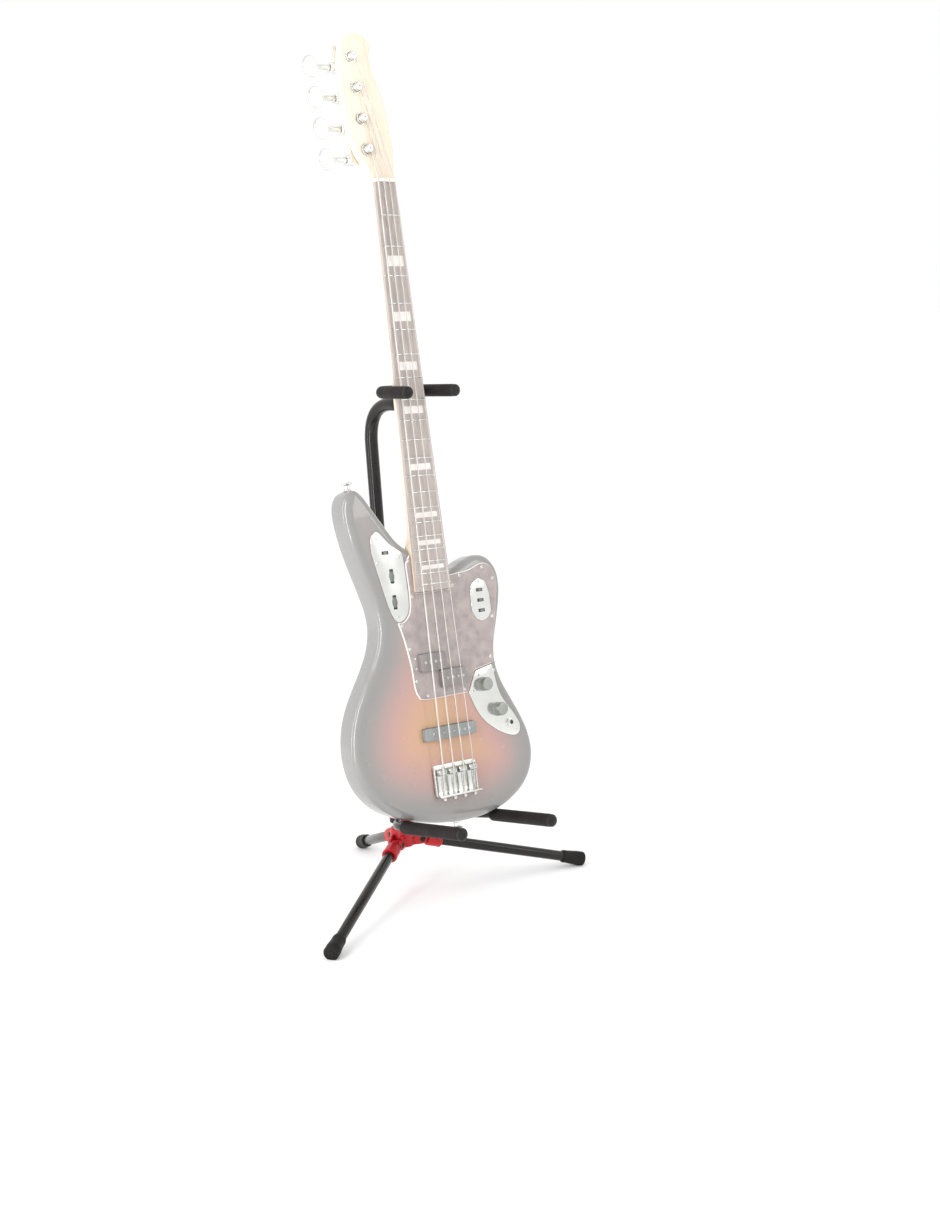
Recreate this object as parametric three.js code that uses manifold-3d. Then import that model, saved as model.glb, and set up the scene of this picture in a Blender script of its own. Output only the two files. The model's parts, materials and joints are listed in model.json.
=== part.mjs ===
// Four-string electric bass resting on a folding tubular guitar stand.
// Millimetres, +Z up. The guitar's face looks toward -Y and its upper horn is on the -X side.
// The origin is on the floor, below the middle of the whole object.
import * as THREE from 'three';
import { mergeVertices } from 'three/addons/utils/BufferGeometryUtils.js';
import Module from 'manifold-3d';

const wasm = await Module();
wasm.setup();

// ---------------------------------------------------------------- driving dimensions
const CLEARANCE = 0.3; // gap between pieces that touch
const CUT_BELOW = -5; // a cut through a thin plate starts here and runs past the top of the face
const CUT_ABOVE = 20;
const RUNNING_CLEARANCE = 0.4; // gap round a piece that slides or turns

// Tripod
const HUB_HEIGHT = 87;
const HUB_RADIUS = 18.5;
const HUB_HALF_HEIGHT = 15;
const PIN_OFFSET = 30;
const PIN_DROP = 6;
const PIN_RADIUS = 3;
const EAR_RADIUS = 8;
const EAR_THICKNESS = 5;
const TONGUE_THICKNESS = 11.2;
const TONGUE_RADIUS = 7;
const SOCKET_RADIUS = 11.5;
const SOCKET_START = 10;
const SOCKET_END = 34;
const SOCKET_WEB = 4;
const LEG_RADIUS = 8;
const LEG_WALL = 1.5;
const FOOT_RADIUS = 11.5;
const FOOT_NECK_RADIUS = 9.6;
const FOOT_LENGTH = 40;
const FOOT_SOCKET_DEPTH = 32;
const FOOT_FLAT = 0.5;
const LEGS = [
  { name: 'front_left', azimuth: -145, reach: 314 },
  { name: 'front_right', azimuth: -15, reach: 306 },
  { name: 'rear', azimuth: 70, reach: 227 },
];

// Post
const POST_LEAN = THREE.MathUtils.degToRad(6.8);
const LOWER_POST_RADIUS = 12.5;
const LOWER_POST_LENGTH = 330;
const POST_SEAT_DEPTH = 11;
const UPPER_POST_RADIUS = 10;
const UPPER_POST_WALL = 1.6;
const UPPER_POST_START = 120;
const POST_BEND_RADIUS = 66;
const CLAMP_RADIUS = 17.5;
const CLAMP_HEIGHT = 30;
const CLAMP_BOSS_RADIUS = 9;
const CLAMP_BOSS_LENGTH = 29;
const CLAMP_BOLT_RADIUS = 4;
const CLAMP_KNOB_RADIUS = 17;
const CLAMP_KNOB_LENGTH = 16;
const CLAMP_KNOB_LOBES = 5;
const CLAMP_KNOB_LOBE_DEPTH = 2.2;

// Cradle
const CRADLE_SLOPE = THREE.MathUtils.degToRad(9.1);
const CRADLE_HALF_WIDTH = 84;
const CRADLE_REACH = 258;
const CRADLE_ARM_LENGTH = 163;
const CRADLE_END_HEIGHT = 160;
const CRADLE_ROD_RADIUS = 6;
const CRADLE_PAD_RADIUS = 9.7;
const CRADLE_CORNER = 22;
const CRADLE_APEX_HALF_WIDTH = 16;
const CRADLE_COLLAR_RADIUS = 17.5;
const CRADLE_COLLAR_HEIGHT = 26;
const PLUG_LENGTH = 7;

// Neck yoke
const YOKE_HEIGHT = 769;
const YOKE_SLOPE = THREE.MathUtils.degToRad(3);
const YOKE_HALF_WIDTH = 43.2; // at the plugs
const YOKE_BACK_HALF_WIDTH = 37; // where the arms leave the crosspiece
const YOKE_ARM_LENGTH = 86;
const YOKE_ROD_RADIUS = 5.5;
const YOKE_PAD_RADIUS = 9.2;
const YOKE_CORNER = 20;
const YOKE_STEM_RADIUS = 4;

// Guitar: scale and neck
const GUITAR_LEAN = THREE.MathUtils.degToRad(11.1);
const GUITAR_SETBACK = 132.8; // from the cradle's arm ends back to the face at the saddles
const SEAT_GAP = 0.45; // between the body's rim and the cradle's sleeves
const NECK_GAP = 0.5; // between the back of the neck and the yoke's sleeve
const SCALE_LENGTH = 864;
const FRET_COUNT = 20;
const STRING_COUNT = 4;
const NUT_WIDTH = 38.1;
const LAST_FRET_WIDTH = 63;
const NUT_LENGTH = 4.8;
const NUT_TOP = 14.2;
const FINGERBOARD_TOP = 11;
const FINGERBOARD_THICKNESS = 6;
const FINGERBOARD_OVERHANG = 10; // past the last fret
const FRET_HEIGHT = 1;
const FRET_WIDTH = 2.4;
const NECK_BACK = 11;
const HEEL_DEPTH = 16;
const HEEL_LENGTH = 72;
const HEADSTOCK_THICKNESS = 14;
const HEADSTOCK_BACK = 9.5;

// Guitar: body
const BODY_THICKNESS = 44.5;
const EDGE_RADIUS = 12;
const BODY_OUTLINE = [
  [-31, 327], [-48, 341], [-66, 365], [-84, 391], [-98, 411], [-111, 420], [-125, 415],
  [-133, 402], [-135, 384], [-130, 348], [-119, 307], [-107, 270], [-99, 240], [-98, 213],
  [-105, 187], [-119, 161], [-137, 134], [-154, 106], [-165, 78], [-170, 47], [-167, 15],
  [-157, -12], [-139, -35], [-114, -53], [-84, -66], [-49, -76], [-8, -82.5], [35, -84],
  [76, -79], [110, -67], [137, -49], [153, -27], [160, 0], [157, 29], [146, 58], [131, 87],
  [117, 115], [110, 142], [112, 170], [121, 200], [130, 230], [135, 258], [131, 284],
  [116, 302], [95, 307], [75, 302], [55, 293], [33, 288],
];

// Guitar: plates on the face
const GUARD_THICKNESS = 2.4;
const PLATE_THICKNESS = 1.6;
const GUARD_LEFT_EDGE = [
  [-34, 104], [-47, 110], [-52, 124], [-54, 154], [-60, 191], [-68, 221.5], [-56, 222.5],
  [-44.5, 236], [-41.5, 263], [-42.5, 306],
];
const GUARD_RIGHT_EDGE = [
  [48, 283.5], [72, 286], [96, 293.5], [112, 290], [122, 275], [124, 262], [120, 240],
  [113, 210], [105, 180], [101, 152], [97, 142.5],
];
const UPPER_PLATE_OUTLINE = [
  [-93, 354], [-84, 355], [-65, 336], [-46, 323], [-44.5, 306], [-43.5, 263], [-46.5, 237],
  [-57, 224.5], [-69, 223.5], [-78, 238], [-86, 267], [-98, 320], [-99, 346],
];
const HORN_PLATE_OUTLINE = [
  [87, 272], [100, 266], [105, 247], [105, 220], [98, 211], [87, 207], [76, 211], [69, 224],
  [69, 251], [73, 264],
];
const LOWER_PLATE_OUTLINE = [
  [63, 134], [96, 140.5], [105, 95], [129, 58], [136, 42], [131, 30], [115, 30], [87, 44],
  [62, 68], [46, 103],
];

// Guitar: pickups, bridge and strings
const SPLIT_PICKUP = { width: 46, length: 26, top: 9.6, depth: 10 };
const SPLIT_PICKUP_CENTRES = [[-17.5, 158.5], [17.5, 131.5]];
const BRIDGE_PICKUP = { width: 95, length: 18.6, top: 8.8, depth: 10 };
const BRIDGE_PICKUP_Y = 52.5;
const BRIDGE_WIDTH = 78;
const BRIDGE_FRONT = 6;
const BRIDGE_BACK = -41;
const BRIDGE_THICKNESS = 2;
const BRIDGE_WALL_TOP = 17;
const SADDLE_LENGTH = 13;
const SADDLE_WIDTH = 14;
const STRING_RADII = [1.35, 1.1, 0.85, 0.6];
const SADDLE_SPREAD = 57;
const NUT_SPREAD = 30;
const STRING_HEIGHT_AT_SADDLE = 15;
const STRING_HEIGHT_AT_NUT = 13.8;
const STRING_HEIGHT_AT_POST = 9;
const BALL_RADIUS = 3;

// Guitar: tuners
const TUNER_FIRST = [-24, 48]; // from the nut
const TUNER_STEP = [-3, 45];
const TUNER_POST_RADIUS = 6;
const TUNER_POST_TOP = 17;
const TUNER_PLATE = { width: 30, length: 38, thickness: 2.2 };
const TUNER_AXLE_DEPTH = 9; // below the back of the headstock
const TUNER_AXLE_OFFSET = 11; // from the string post toward the body
const TUNER_AXLE_RADIUS = 3;
const TUNER_AXLE_REACH = 46;
const TUNER_BLOCK = { start: 4, end: 22, half: 6.5 };
const TUNER_GEAR_RADIUS = 9;
const TUNER_KEY = { width: 25, height: 32, thickness: 5 };

// Guitar: controls and strap buttons
const KNOB_RADIUS = 10.5;
const KNOB_HEIGHT = 15;
const KNOB_CENTRES = [[73, 113], [96, 72]];
const JACK_CENTRE = [117, 49];
const JACK_RADIUS = 7;
const JACK_HEIGHT = 5;
const SLIDE_SLOT = { length: 12, width: 5 }; // the switches slide across the plates
const SLIDE_TAB = { length: 5, width: 4, top: 6 };
const UPPER_SLIDE_CENTRE = [-76, 325];
const HORN_SLIDE_X = 87;
const HORN_SLIDES_Y = [254, 238.5, 223];
const ROLLER_X = -69;
const ROLLERS_Y = [290, 252];
const ROLLER_RADIUS = 10;
const ROLLER_WIDTH = 6;
const ROLLER_PROUD = 3.5; // above the plate
const STRAP_BUTTON = { stem: 4.5, head: 8.5, length: 12 };
const HORN_BUTTON = [-112, 420];
const END_BUTTON = [12, -84];

// ---------------------------------------------------------------- materials
function material(color, roughness, metalness) {
  return new THREE.MeshStandardMaterial({ color, roughness, metalness });
}

const paint = {
  tube: () => material(0x2e2a29, 0.35, 0.4),
  foam: () => material(0x35302e, 0.85, 0),
  rubber: () => material(0x242120, 0.8, 0),
  hub: () => material(0xc8242d, 0.4, 0),
  finish: () => material(0xcdaaa5, 0.25, 0),
  maple: () => material(0xf5e3ce, 0.35, 0),
  fingerboard: () => material(0xbdb3ae, 0.5, 0),
  guard: () => material(0xb5a9a6, 0.3, 0),
  chrome: () => material(0xe6e7e1, 0.15, 1),
  pickup: () => material(0x8f948f, 0.45, 0),
  steel: () => material(0xd8d6d2, 0.3, 1),
  bone: () => material(0xf0ebe2, 0.5, 0),
};

// ---------------------------------------------------------------- geometry helpers
function toSolid(geometry) {
  const bare = geometry.clone();
  for (const name of Object.keys(bare.attributes)) {
    if (name !== 'position') bare.deleteAttribute(name);
  }
  const merged = mergeVertices(bare, 1e-4);
  return new wasm.Manifold(new wasm.Mesh({
    numProp: 3,
    vertProperties: Float32Array.from(merged.attributes.position.array),
    triVerts: Uint32Array.from(merged.index.array),
  }));
}

function toGeometry(solid) {
  const mesh = solid.getMesh();
  const geometry = new THREE.BufferGeometry();
  geometry.setAttribute('position', new THREE.BufferAttribute(new Float32Array(mesh.vertProperties), 3));
  geometry.setIndex(new THREE.BufferAttribute(new Uint32Array(mesh.triVerts), 1));
  const flat = geometry.toNonIndexed();
  flat.computeVertexNormals();
  return flat;
}

function combine(added, removed = []) {
  let solid = toSolid(added[0]);
  for (const geometry of added.slice(1)) solid = solid.add(toSolid(geometry));
  for (const geometry of removed) solid = solid.subtract(toSolid(geometry));
  return toGeometry(solid);
}

function box(x0, x1, y0, y1, z0, z1) {
  const geometry = new THREE.BoxGeometry(x1 - x0, y1 - y0, z1 - z0);
  return geometry.translate((x0 + x1) / 2, (y0 + y1) / 2, (z0 + z1) / 2);
}

// A solid of revolution about Z; each profile point is [radius, z], and the profile closes.
function revolve(profile, segments = 24) {
  const points = profile.map(([radius, z]) => new THREE.Vector2(radius, z));
  if (profile[0][0] > 0) points.push(points[0].clone());
  const geometry = new THREE.LatheGeometry(points, segments).rotateX(Math.PI / 2);
  return outward(geometry);
}

// Turns a closed geometry's faces outward.
function outward(geometry) {
  const p = geometry.attributes.position;
  const index = geometry.index;
  const corner = (i) => new THREE.Vector3().fromBufferAttribute(p, index ? index.getX(i) : i);
  const count = index ? index.count : p.count;
  let volume = 0;
  for (let i = 0; i < count; i += 3) {
    volume += corner(i).dot(corner(i + 1).cross(corner(i + 2)));
  }
  if (volume > 0) return geometry;
  const flipped = index ? geometry.toNonIndexed() : geometry.clone();
  const q = flipped.attributes.position;
  for (let i = 0; i < q.count; i += 3) {
    const [x, y, z] = [q.getX(i + 1), q.getY(i + 1), q.getZ(i + 1)];
    q.setXYZ(i + 1, q.getX(i + 2), q.getY(i + 2), q.getZ(i + 2));
    q.setXYZ(i + 2, x, y, z);
  }
  flipped.computeVertexNormals();
  return flipped;
}

function rod(radius, z0, z1, segments = 24) {
  return revolve([[0, z0], [radius, z0], [radius, z1], [0, z1]], segments);
}

function pipe(radius, bore, z0, z1, segments = 24) {
  return revolve([[bore, z0], [radius, z0], [radius, z1], [bore, z1]], segments);
}

// A straight rod between two points.
function rodBetween(start, end, radius, segments = 8) {
  const axis = end.clone().sub(start);
  const up = new THREE.Vector3(0, 0, 1);
  const turn = new THREE.Quaternion().setFromUnitVectors(up, axis.clone().normalize());
  return rod(radius, 0, axis.length(), segments).applyQuaternion(turn).translate(start.x, start.y, start.z);
}

// A path of straight runs through the points, with every corner rounded.
function roundedPath(points, radius) {
  const path = new THREE.CurvePath();
  let from = points[0];
  for (let i = 1; i < points.length - 1; i += 1) {
    const back = points[i - 1].clone().sub(points[i]).setLength(radius).add(points[i]);
    const ahead = points[i + 1].clone().sub(points[i]).setLength(radius).add(points[i]);
    path.add(new THREE.LineCurve3(from, back));
    path.add(new THREE.QuadraticBezierCurve3(back, points[i], ahead));
    from = ahead;
  }
  path.add(new THREE.LineCurve3(from, points[points.length - 1]));
  return path;
}

// A rod or a tube along a path.
function tubeAlong(path, radius, bore, steps, segments = 16) {
  const section = new THREE.Shape().absarc(0, 0, radius, 0, 2 * Math.PI);
  if (bore > 0) section.holes.push(new THREE.Path().absarc(0, 0, bore, 0, 2 * Math.PI, true));
  const options = { extrudePath: path, steps, curveSegments: segments };
  return outward(new THREE.ExtrudeGeometry(section, options));
}

function vectors(outline) {
  return outline.map(([x, y]) => new THREE.Vector2(x, y));
}

// A smooth closed curve through the outline's points, as evenly spaced points.
function smoothOutline(outline, count) {
  const through = outline.map(([x, y]) => new THREE.Vector3(x, y, 0));
  const curve = new THREE.CatmullRomCurve3(through, true, 'centripetal');
  return curve.getSpacedPoints(count).slice(0, count).map((p) => new THREE.Vector2(p.x, p.y));
}

// The outline with every corner rounded by the radius.
function roundedOutline(outline, radius, cornerPoints = 4) {
  const corners = vectors(outline);
  const points = [];
  for (let i = 0; i < corners.length; i += 1) {
    const here = corners[i];
    const before = corners[(i + corners.length - 1) % corners.length];
    const after = corners[(i + 1) % corners.length];
    const back = before.clone().sub(here);
    const ahead = after.clone().sub(here);
    const reach = Math.min(radius, back.length() / 2.2, ahead.length() / 2.2);
    const curve = new THREE.QuadraticBezierCurve(
      here.clone().add(back.setLength(reach)), here, here.clone().add(ahead.setLength(reach)));
    points.push(...curve.getPoints(cornerPoints));
  }
  return points;
}

// A flat plate between two heights, with both of its rims bevelled or rounded.
function plate(points, z0, z1, bevel = 0) {
  const shape = new THREE.Shape(points);
  const options = {
    depth: z1 - z0 - 2 * bevel,
    bevelEnabled: bevel > 0,
    bevelThickness: bevel,
    bevelSize: bevel,
    bevelOffset: -bevel,
    bevelSegments: bevel > 3 ? 3 : 1,
    curveSegments: 8,
  };
  return outward(new THREE.ExtrudeGeometry(shape, options).translate(0, 0, z0 + bevel));
}

function rectangle(x0, x1, y0, y1) {
  return [[x0, y0], [x1, y0], [x1, y1], [x0, y1]];
}

function piece(name, geometry, look) {
  const mesh = new THREE.Mesh(geometry, look);
  mesh.name = name;
  return mesh;
}

// ---------------------------------------------------------------- tripod
const hubCentre = new THREE.Vector3(0, 0, HUB_HEIGHT);
const footCentreHeight = FOOT_RADIUS - FOOT_FLAT;

function makeHub() {
  const post = rod(LOWER_POST_RADIUS + CLEARANCE, -POST_SEAT_DEPTH - CLEARANCE, 2 * HUB_HALF_HEIGHT, 24)
    .rotateX(-POST_LEAN);
  const added = [revolve([
    [0, -HUB_HALF_HEIGHT], [HUB_RADIUS - 2, -HUB_HALF_HEIGHT], [HUB_RADIUS, -HUB_HALF_HEIGHT + 2],
    [HUB_RADIUS, HUB_HALF_HEIGHT - 3], [HUB_RADIUS - 3, HUB_HALF_HEIGHT], [0, HUB_HALF_HEIGHT],
  ], 24)];
  const inner = TONGUE_THICKNESS / 2 + RUNNING_CLEARANCE;
  const outer = inner + EAR_THICKNESS;
  for (const leg of LEGS) {
    const turn = THREE.MathUtils.degToRad(leg.azimuth);
    for (const side of [-1, 1]) {
      const [y0, y1] = side < 0 ? [-outer, -inner] : [inner, outer];
      const web = box(HUB_RADIUS - 8, PIN_OFFSET, y0, y1, -PIN_DROP - EAR_RADIUS, -PIN_DROP + EAR_RADIUS);
      const ear = rod(EAR_RADIUS, y0, y1, 16).rotateX(-Math.PI / 2).translate(PIN_OFFSET, 0, -PIN_DROP);
      added.push(web.rotateZ(turn), ear.rotateZ(turn));
    }
    const pin = rod(PIN_RADIUS, -outer - 1.5, outer + 1.5, 16).rotateX(-Math.PI / 2);
    added.push(pin.translate(PIN_OFFSET, 0, -PIN_DROP).rotateZ(turn));
  }
  const hub = piece('hub', combine(added, [post]), paint.hub());
  hub.position.copy(hubCentre);
  return hub;
}

// One leg with its socket and foot, in a frame whose X runs down the leg from the hinge pin.
function makeLeg({ name, azimuth, reach }) {
  const run = reach - PIN_OFFSET;
  const drop = HUB_HEIGHT - PIN_DROP - footCentreHeight;
  const slope = Math.atan2(drop, run);
  const length = Math.hypot(run, drop);
  const alongX = (geometry) => geometry.rotateY(Math.PI / 2);

  const half = TONGUE_THICKNESS / 2;
  const tongue = box(0, SOCKET_START + 1, -half, half, -TONGUE_RADIUS, TONGUE_RADIUS);
  const eye = rod(TONGUE_RADIUS, -half, half).rotateX(-Math.PI / 2);
  const sleeve = alongX(rod(SOCKET_RADIUS, SOCKET_START, SOCKET_END, 20));
  const pinBore = rod(PIN_RADIUS + RUNNING_CLEARANCE, -20, 20, 16).rotateX(-Math.PI / 2);
  const legStart = SOCKET_START + SOCKET_WEB;
  const legBore = alongX(rod(LEG_RADIUS + CLEARANCE, legStart - CLEARANCE, SOCKET_END + 1, 20));
  const socket = combine([tongue, eye, sleeve], [pinBore, legBore]);

  const legEnd = length - CLEARANCE;
  const tube = alongX(pipe(LEG_RADIUS, LEG_RADIUS - LEG_WALL, legStart, legEnd, 20));

  const bore = LEG_RADIUS + CLEARANCE;
  const capEnd = length + FOOT_LENGTH - FOOT_SOCKET_DEPTH;
  const capStart = capEnd - FOOT_LENGTH;
  const cap = alongX(revolve([
    [bore, capStart], [FOOT_NECK_RADIUS, capStart], [FOOT_RADIUS, capEnd - 14],
    [FOOT_RADIUS, capEnd - 2.5], [FOOT_RADIUS - 2.5, capEnd], [0, capEnd], [0, length], [bore, length],
  ], 20));
  // The rubber is trimmed level with the floor.
  const floor = box(-60, 60, -60, 60, -40, 0);
  floor.translate(0, 0, -footCentreHeight).rotateY(-slope).translate(length, 0, 0);

  const frame = new THREE.Group();
  frame.position.set(PIN_OFFSET, 0, -PIN_DROP);
  frame.rotation.y = slope;
  frame.add(piece(`leg_socket_${name}`, socket, paint.hub()));
  frame.add(piece(`leg_${name}`, tube, paint.tube()));
  frame.add(piece(`foot_${name}`, combine([cap], [floor]), paint.rubber()));
  const aimed = new THREE.Group();
  aimed.position.copy(hubCentre);
  aimed.rotation.z = THREE.MathUtils.degToRad(azimuth);
  aimed.add(frame);
  return aimed;
}

// ---------------------------------------------------------------- guitar placing
const faceNormal = new THREE.Vector3(0, -Math.cos(GUITAR_LEAN), Math.sin(GUITAR_LEAN));
const neckUp = new THREE.Vector3(0, Math.sin(GUITAR_LEAN), Math.cos(GUITAR_LEAN));
const armForward = new THREE.Vector3(0, -Math.cos(CRADLE_SLOPE), Math.sin(CRADLE_SLOPE));
const bodyOutline = smoothOutline(BODY_OUTLINE, 80);

// The height below the saddles at which a sleeve of this radius, at this x, touches the rim.
function rimContact(x, radius) {
  const substeps = 16;
  let lowest = Infinity;
  bodyOutline.forEach((start, i) => {
    const end = bodyOutline[(i + 1) % bodyOutline.length];
    for (let k = 0; k < substeps; k += 1) {
      const p = start.clone().lerp(end, k / substeps);
      const aside = Math.abs(p.x - x);
      if (p.y < 0 && aside < radius) lowest = Math.min(lowest, p.y - Math.sqrt(radius ** 2 - aside ** 2));
    }
  });
  return lowest;
}

// How far the cradle rocks sideways, and how high the guitar then stands on it. The arms
// touch the back end of the body's straight side wall.
function seatOnCradle() {
  const radius = CRADLE_PAD_RADIUS + SEAT_GAP;
  const depth = -(BODY_THICKNESS - EDGE_RADIUS);
  let roll = 0;
  let height = 0;
  for (let pass = 0; pass < 4; pass += 1) {
    const x = CRADLE_HALF_WIDTH * Math.cos(roll);
    const [left, right] = [-x, x].map((side) => {
      const point = faceNormal.clone().multiplyScalar(depth);
      point.addScaledVector(neckUp, rimContact(side, radius));
      return point.z + point.y * Math.tan(CRADLE_SLOPE);
    });
    roll = Math.atan2(left - right, 2 * x);
    height = (left + right) / 2;
  }
  return { roll, height };
}

const seat = seatOnCradle();
const guitarY = GUITAR_SETBACK - CRADLE_REACH;
const armHeightAtGuitar = CRADLE_END_HEIGHT - GUITAR_SETBACK * Math.tan(CRADLE_SLOPE);
const guitarOrigin = new THREE.Vector3(0, guitarY, armHeightAtGuitar - seat.height);

// ---------------------------------------------------------------- post
const postAxis = new THREE.Vector3(0, Math.sin(POST_LEAN), Math.cos(POST_LEAN));
const neckBackDistance = NECK_BACK + YOKE_PAD_RADIUS + NECK_GAP;
const yokeY = guitarOrigin.y
  + (neckBackDistance + (YOKE_HEIGHT - guitarOrigin.z) * faceNormal.z) / -faceNormal.y;
const postTopHeight = YOKE_HEIGHT - YOKE_PAD_RADIUS - UPPER_POST_RADIUS - CLEARANCE;
const clampTop = LOWER_POST_LENGTH - POST_SEAT_DEPTH;

function onPost(object) {
  object.position.copy(hubCentre);
  object.rotation.x = -POST_LEAN;
  return object;
}

function makeLowerPost() {
  const bore = UPPER_POST_RADIUS + RUNNING_CLEARANCE;
  const middle = clampTop - CLAMP_HEIGHT / 2;
  const tube = rod(LOWER_POST_RADIUS, -POST_SEAT_DEPTH, clampTop, 24);
  const clamp = revolve([
    [0, clampTop - CLAMP_HEIGHT], [CLAMP_RADIUS - 2, clampTop - CLAMP_HEIGHT],
    [CLAMP_RADIUS, clampTop - CLAMP_HEIGHT + 3], [CLAMP_RADIUS, clampTop - 2],
    [CLAMP_RADIUS - 2, clampTop], [0, clampTop],
  ], 24);
  const boss = rod(CLAMP_BOSS_RADIUS, 0, CLAMP_BOSS_LENGTH).rotateY(Math.PI / 2).translate(0, 0, middle);
  const inside = rod(bore, -POST_SEAT_DEPTH + 3, clampTop + 1);
  const boltHole = rod(CLAMP_BOLT_RADIUS + RUNNING_CLEARANCE, 0, CLAMP_BOSS_LENGTH + 1)
    .rotateY(Math.PI / 2).translate(0, 0, middle);
  return onPost(piece('lower_post', combine([tube, clamp, boss], [inside, boltHole]), paint.tube()));
}

function makeClampKnob() {
  const outline = [];
  const steps = CLAMP_KNOB_LOBES * 6;
  for (let i = 0; i < steps; i += 1) {
    const angle = (2 * Math.PI * i) / steps;
    const radius = CLAMP_KNOB_RADIUS - CLAMP_KNOB_LOBE_DEPTH * (1 - Math.cos(CLAMP_KNOB_LOBES * angle));
    outline.push(new THREE.Vector2(radius * Math.cos(angle), radius * Math.sin(angle)));
  }
  const start = CLAMP_BOSS_LENGTH + RUNNING_CLEARANCE;
  const grip = plate(outline, start, start + CLAMP_KNOB_LENGTH, 2);
  const tip = UPPER_POST_RADIUS + RUNNING_CLEARANCE;
  const bolt = rod(CLAMP_BOLT_RADIUS, tip, start + 1, 20);
  const knob = piece('clamp_knob', combine([grip, bolt]).rotateY(Math.PI / 2), paint.rubber());
  knob.geometry.translate(0, 0, clampTop - CLAMP_HEIGHT / 2);
  return onPost(knob);
}

function makeUpperPost() {
  const rise = (postTopHeight - HUB_HEIGHT) / postAxis.z;
  const corner = postAxis.clone().multiplyScalar(rise).add(hubCentre);
  const end = new THREE.Vector3(0, yokeY - YOKE_PAD_RADIUS / 2, postTopHeight);
  const bendReach = Math.min(POST_BEND_RADIUS, corner.distanceTo(end) - UPPER_POST_RADIUS);
  const bendStart = rise - bendReach;
  const lead = postAxis.clone().multiplyScalar(bendStart - 6).add(hubCentre);
  const bend = tubeAlong(roundedPath([lead, corner, end], bendReach), UPPER_POST_RADIUS, 0, 14, 12);
  const tube = pipe(UPPER_POST_RADIUS, UPPER_POST_RADIUS - UPPER_POST_WALL, UPPER_POST_START, bendStart)
    .rotateX(-POST_LEAN).translate(hubCentre.x, hubCentre.y, hubCentre.z);
  return piece('upper_post', combine([tube, bend]), paint.tube());
}

// ---------------------------------------------------------------- cradle
function cradlePoint(x, reach) {
  const side = new THREE.Vector3(Math.cos(seat.roll), 0, -Math.sin(seat.roll));
  const end = new THREE.Vector3(0, -CRADLE_REACH, CRADLE_END_HEIGHT);
  return end.addScaledVector(side, x).addScaledVector(armForward, reach - CRADLE_REACH / -armForward.y);
}

const armEnd = CRADLE_REACH / -armForward.y;

function domedPlug(radius, length) {
  const profile = [[0, 0], [radius, 0]];
  for (let i = 0; i <= 4; i += 1) {
    const angle = (i / 4) * (Math.PI / 2);
    profile.push([radius * Math.cos(angle), length * (0.35 + 0.65 * Math.sin(angle))]);
  }
  profile[profile.length - 1][0] = 0;
  return revolve(profile, 16);
}

function plugAt(point, direction, radius) {
  const turn = new THREE.Quaternion().setFromUnitVectors(new THREE.Vector3(0, 0, 1), direction);
  return domedPlug(radius, PLUG_LENGTH).applyQuaternion(turn).translate(point.x, point.y, point.z);
}

function makeCradle() {
  const plugStart = armEnd - PLUG_LENGTH;
  const elbow = armEnd - CRADLE_ARM_LENGTH;
  const apex = CRADLE_COLLAR_RADIUS - 1;
  const corners = [
    [-CRADLE_HALF_WIDTH, plugStart + 1], [-CRADLE_HALF_WIDTH, elbow], [-CRADLE_APEX_HALF_WIDTH, apex],
    [CRADLE_APEX_HALF_WIDTH, apex], [CRADLE_HALF_WIDTH, elbow], [CRADLE_HALF_WIDTH, plugStart + 1],
  ].map(([x, reach]) => cradlePoint(x, reach));
  const added = [tubeAlong(roundedPath(corners, CRADLE_CORNER), CRADLE_ROD_RADIUS, 0, 46, 5)];
  for (const side of [-1, 1]) {
    const start = cradlePoint(side * CRADLE_HALF_WIDTH, plugStart);
    added.push(plugAt(start, armForward, CRADLE_PAD_RADIUS - CLEARANCE));
  }
  const height = cradlePoint(0, apex).z;
  const along = (height - HUB_HEIGHT) / postAxis.z;
  const [z0, z1] = [along - CRADLE_COLLAR_HEIGHT / 2, along + CRADLE_COLLAR_HEIGHT / 2];
  const onAxis = (geometry) => geometry.rotateX(-POST_LEAN).translate(0, 0, HUB_HEIGHT);
  added.push(onAxis(rod(CRADLE_COLLAR_RADIUS, z0, z1)));
  const post = onAxis(rod(LOWER_POST_RADIUS + CLEARANCE, z0 - 1, z1 + 1));
  return piece('cradle_frame', combine(added, [post]), paint.tube());
}

function makeCradlePad(name, side) {
  const plugStart = armEnd - PLUG_LENGTH;
  const start = armEnd - CRADLE_ARM_LENGTH + CRADLE_CORNER;
  const turn = new THREE.Quaternion().setFromUnitVectors(new THREE.Vector3(0, 0, 1), armForward);
  const length = plugStart - start - CLEARANCE;
  const sleeve = revolve([
    [CRADLE_ROD_RADIUS + CLEARANCE, 0], [CRADLE_PAD_RADIUS - 1, 0], [CRADLE_PAD_RADIUS, 1],
    [CRADLE_PAD_RADIUS, length], [CRADLE_ROD_RADIUS + CLEARANCE, length],
  ], 24);
  const at = cradlePoint(side * CRADLE_HALF_WIDTH, start);
  sleeve.applyQuaternion(turn).translate(at.x, at.y, at.z);
  return piece(`cradle_pad_${name}`, sleeve, paint.foam());
}

// ---------------------------------------------------------------- neck yoke
const yokeForward = new THREE.Vector3(0, -Math.cos(YOKE_SLOPE), Math.sin(YOKE_SLOPE));

// The arms spread a little toward their ends.
function yokeSide(reach) {
  const share = reach / (YOKE_ARM_LENGTH - PLUG_LENGTH);
  return YOKE_BACK_HALF_WIDTH + (YOKE_HALF_WIDTH - YOKE_BACK_HALF_WIDTH) * share;
}

function yokePoint(x, reach) {
  return new THREE.Vector3(x, yokeY, YOKE_HEIGHT).addScaledVector(yokeForward, reach);
}

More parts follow.
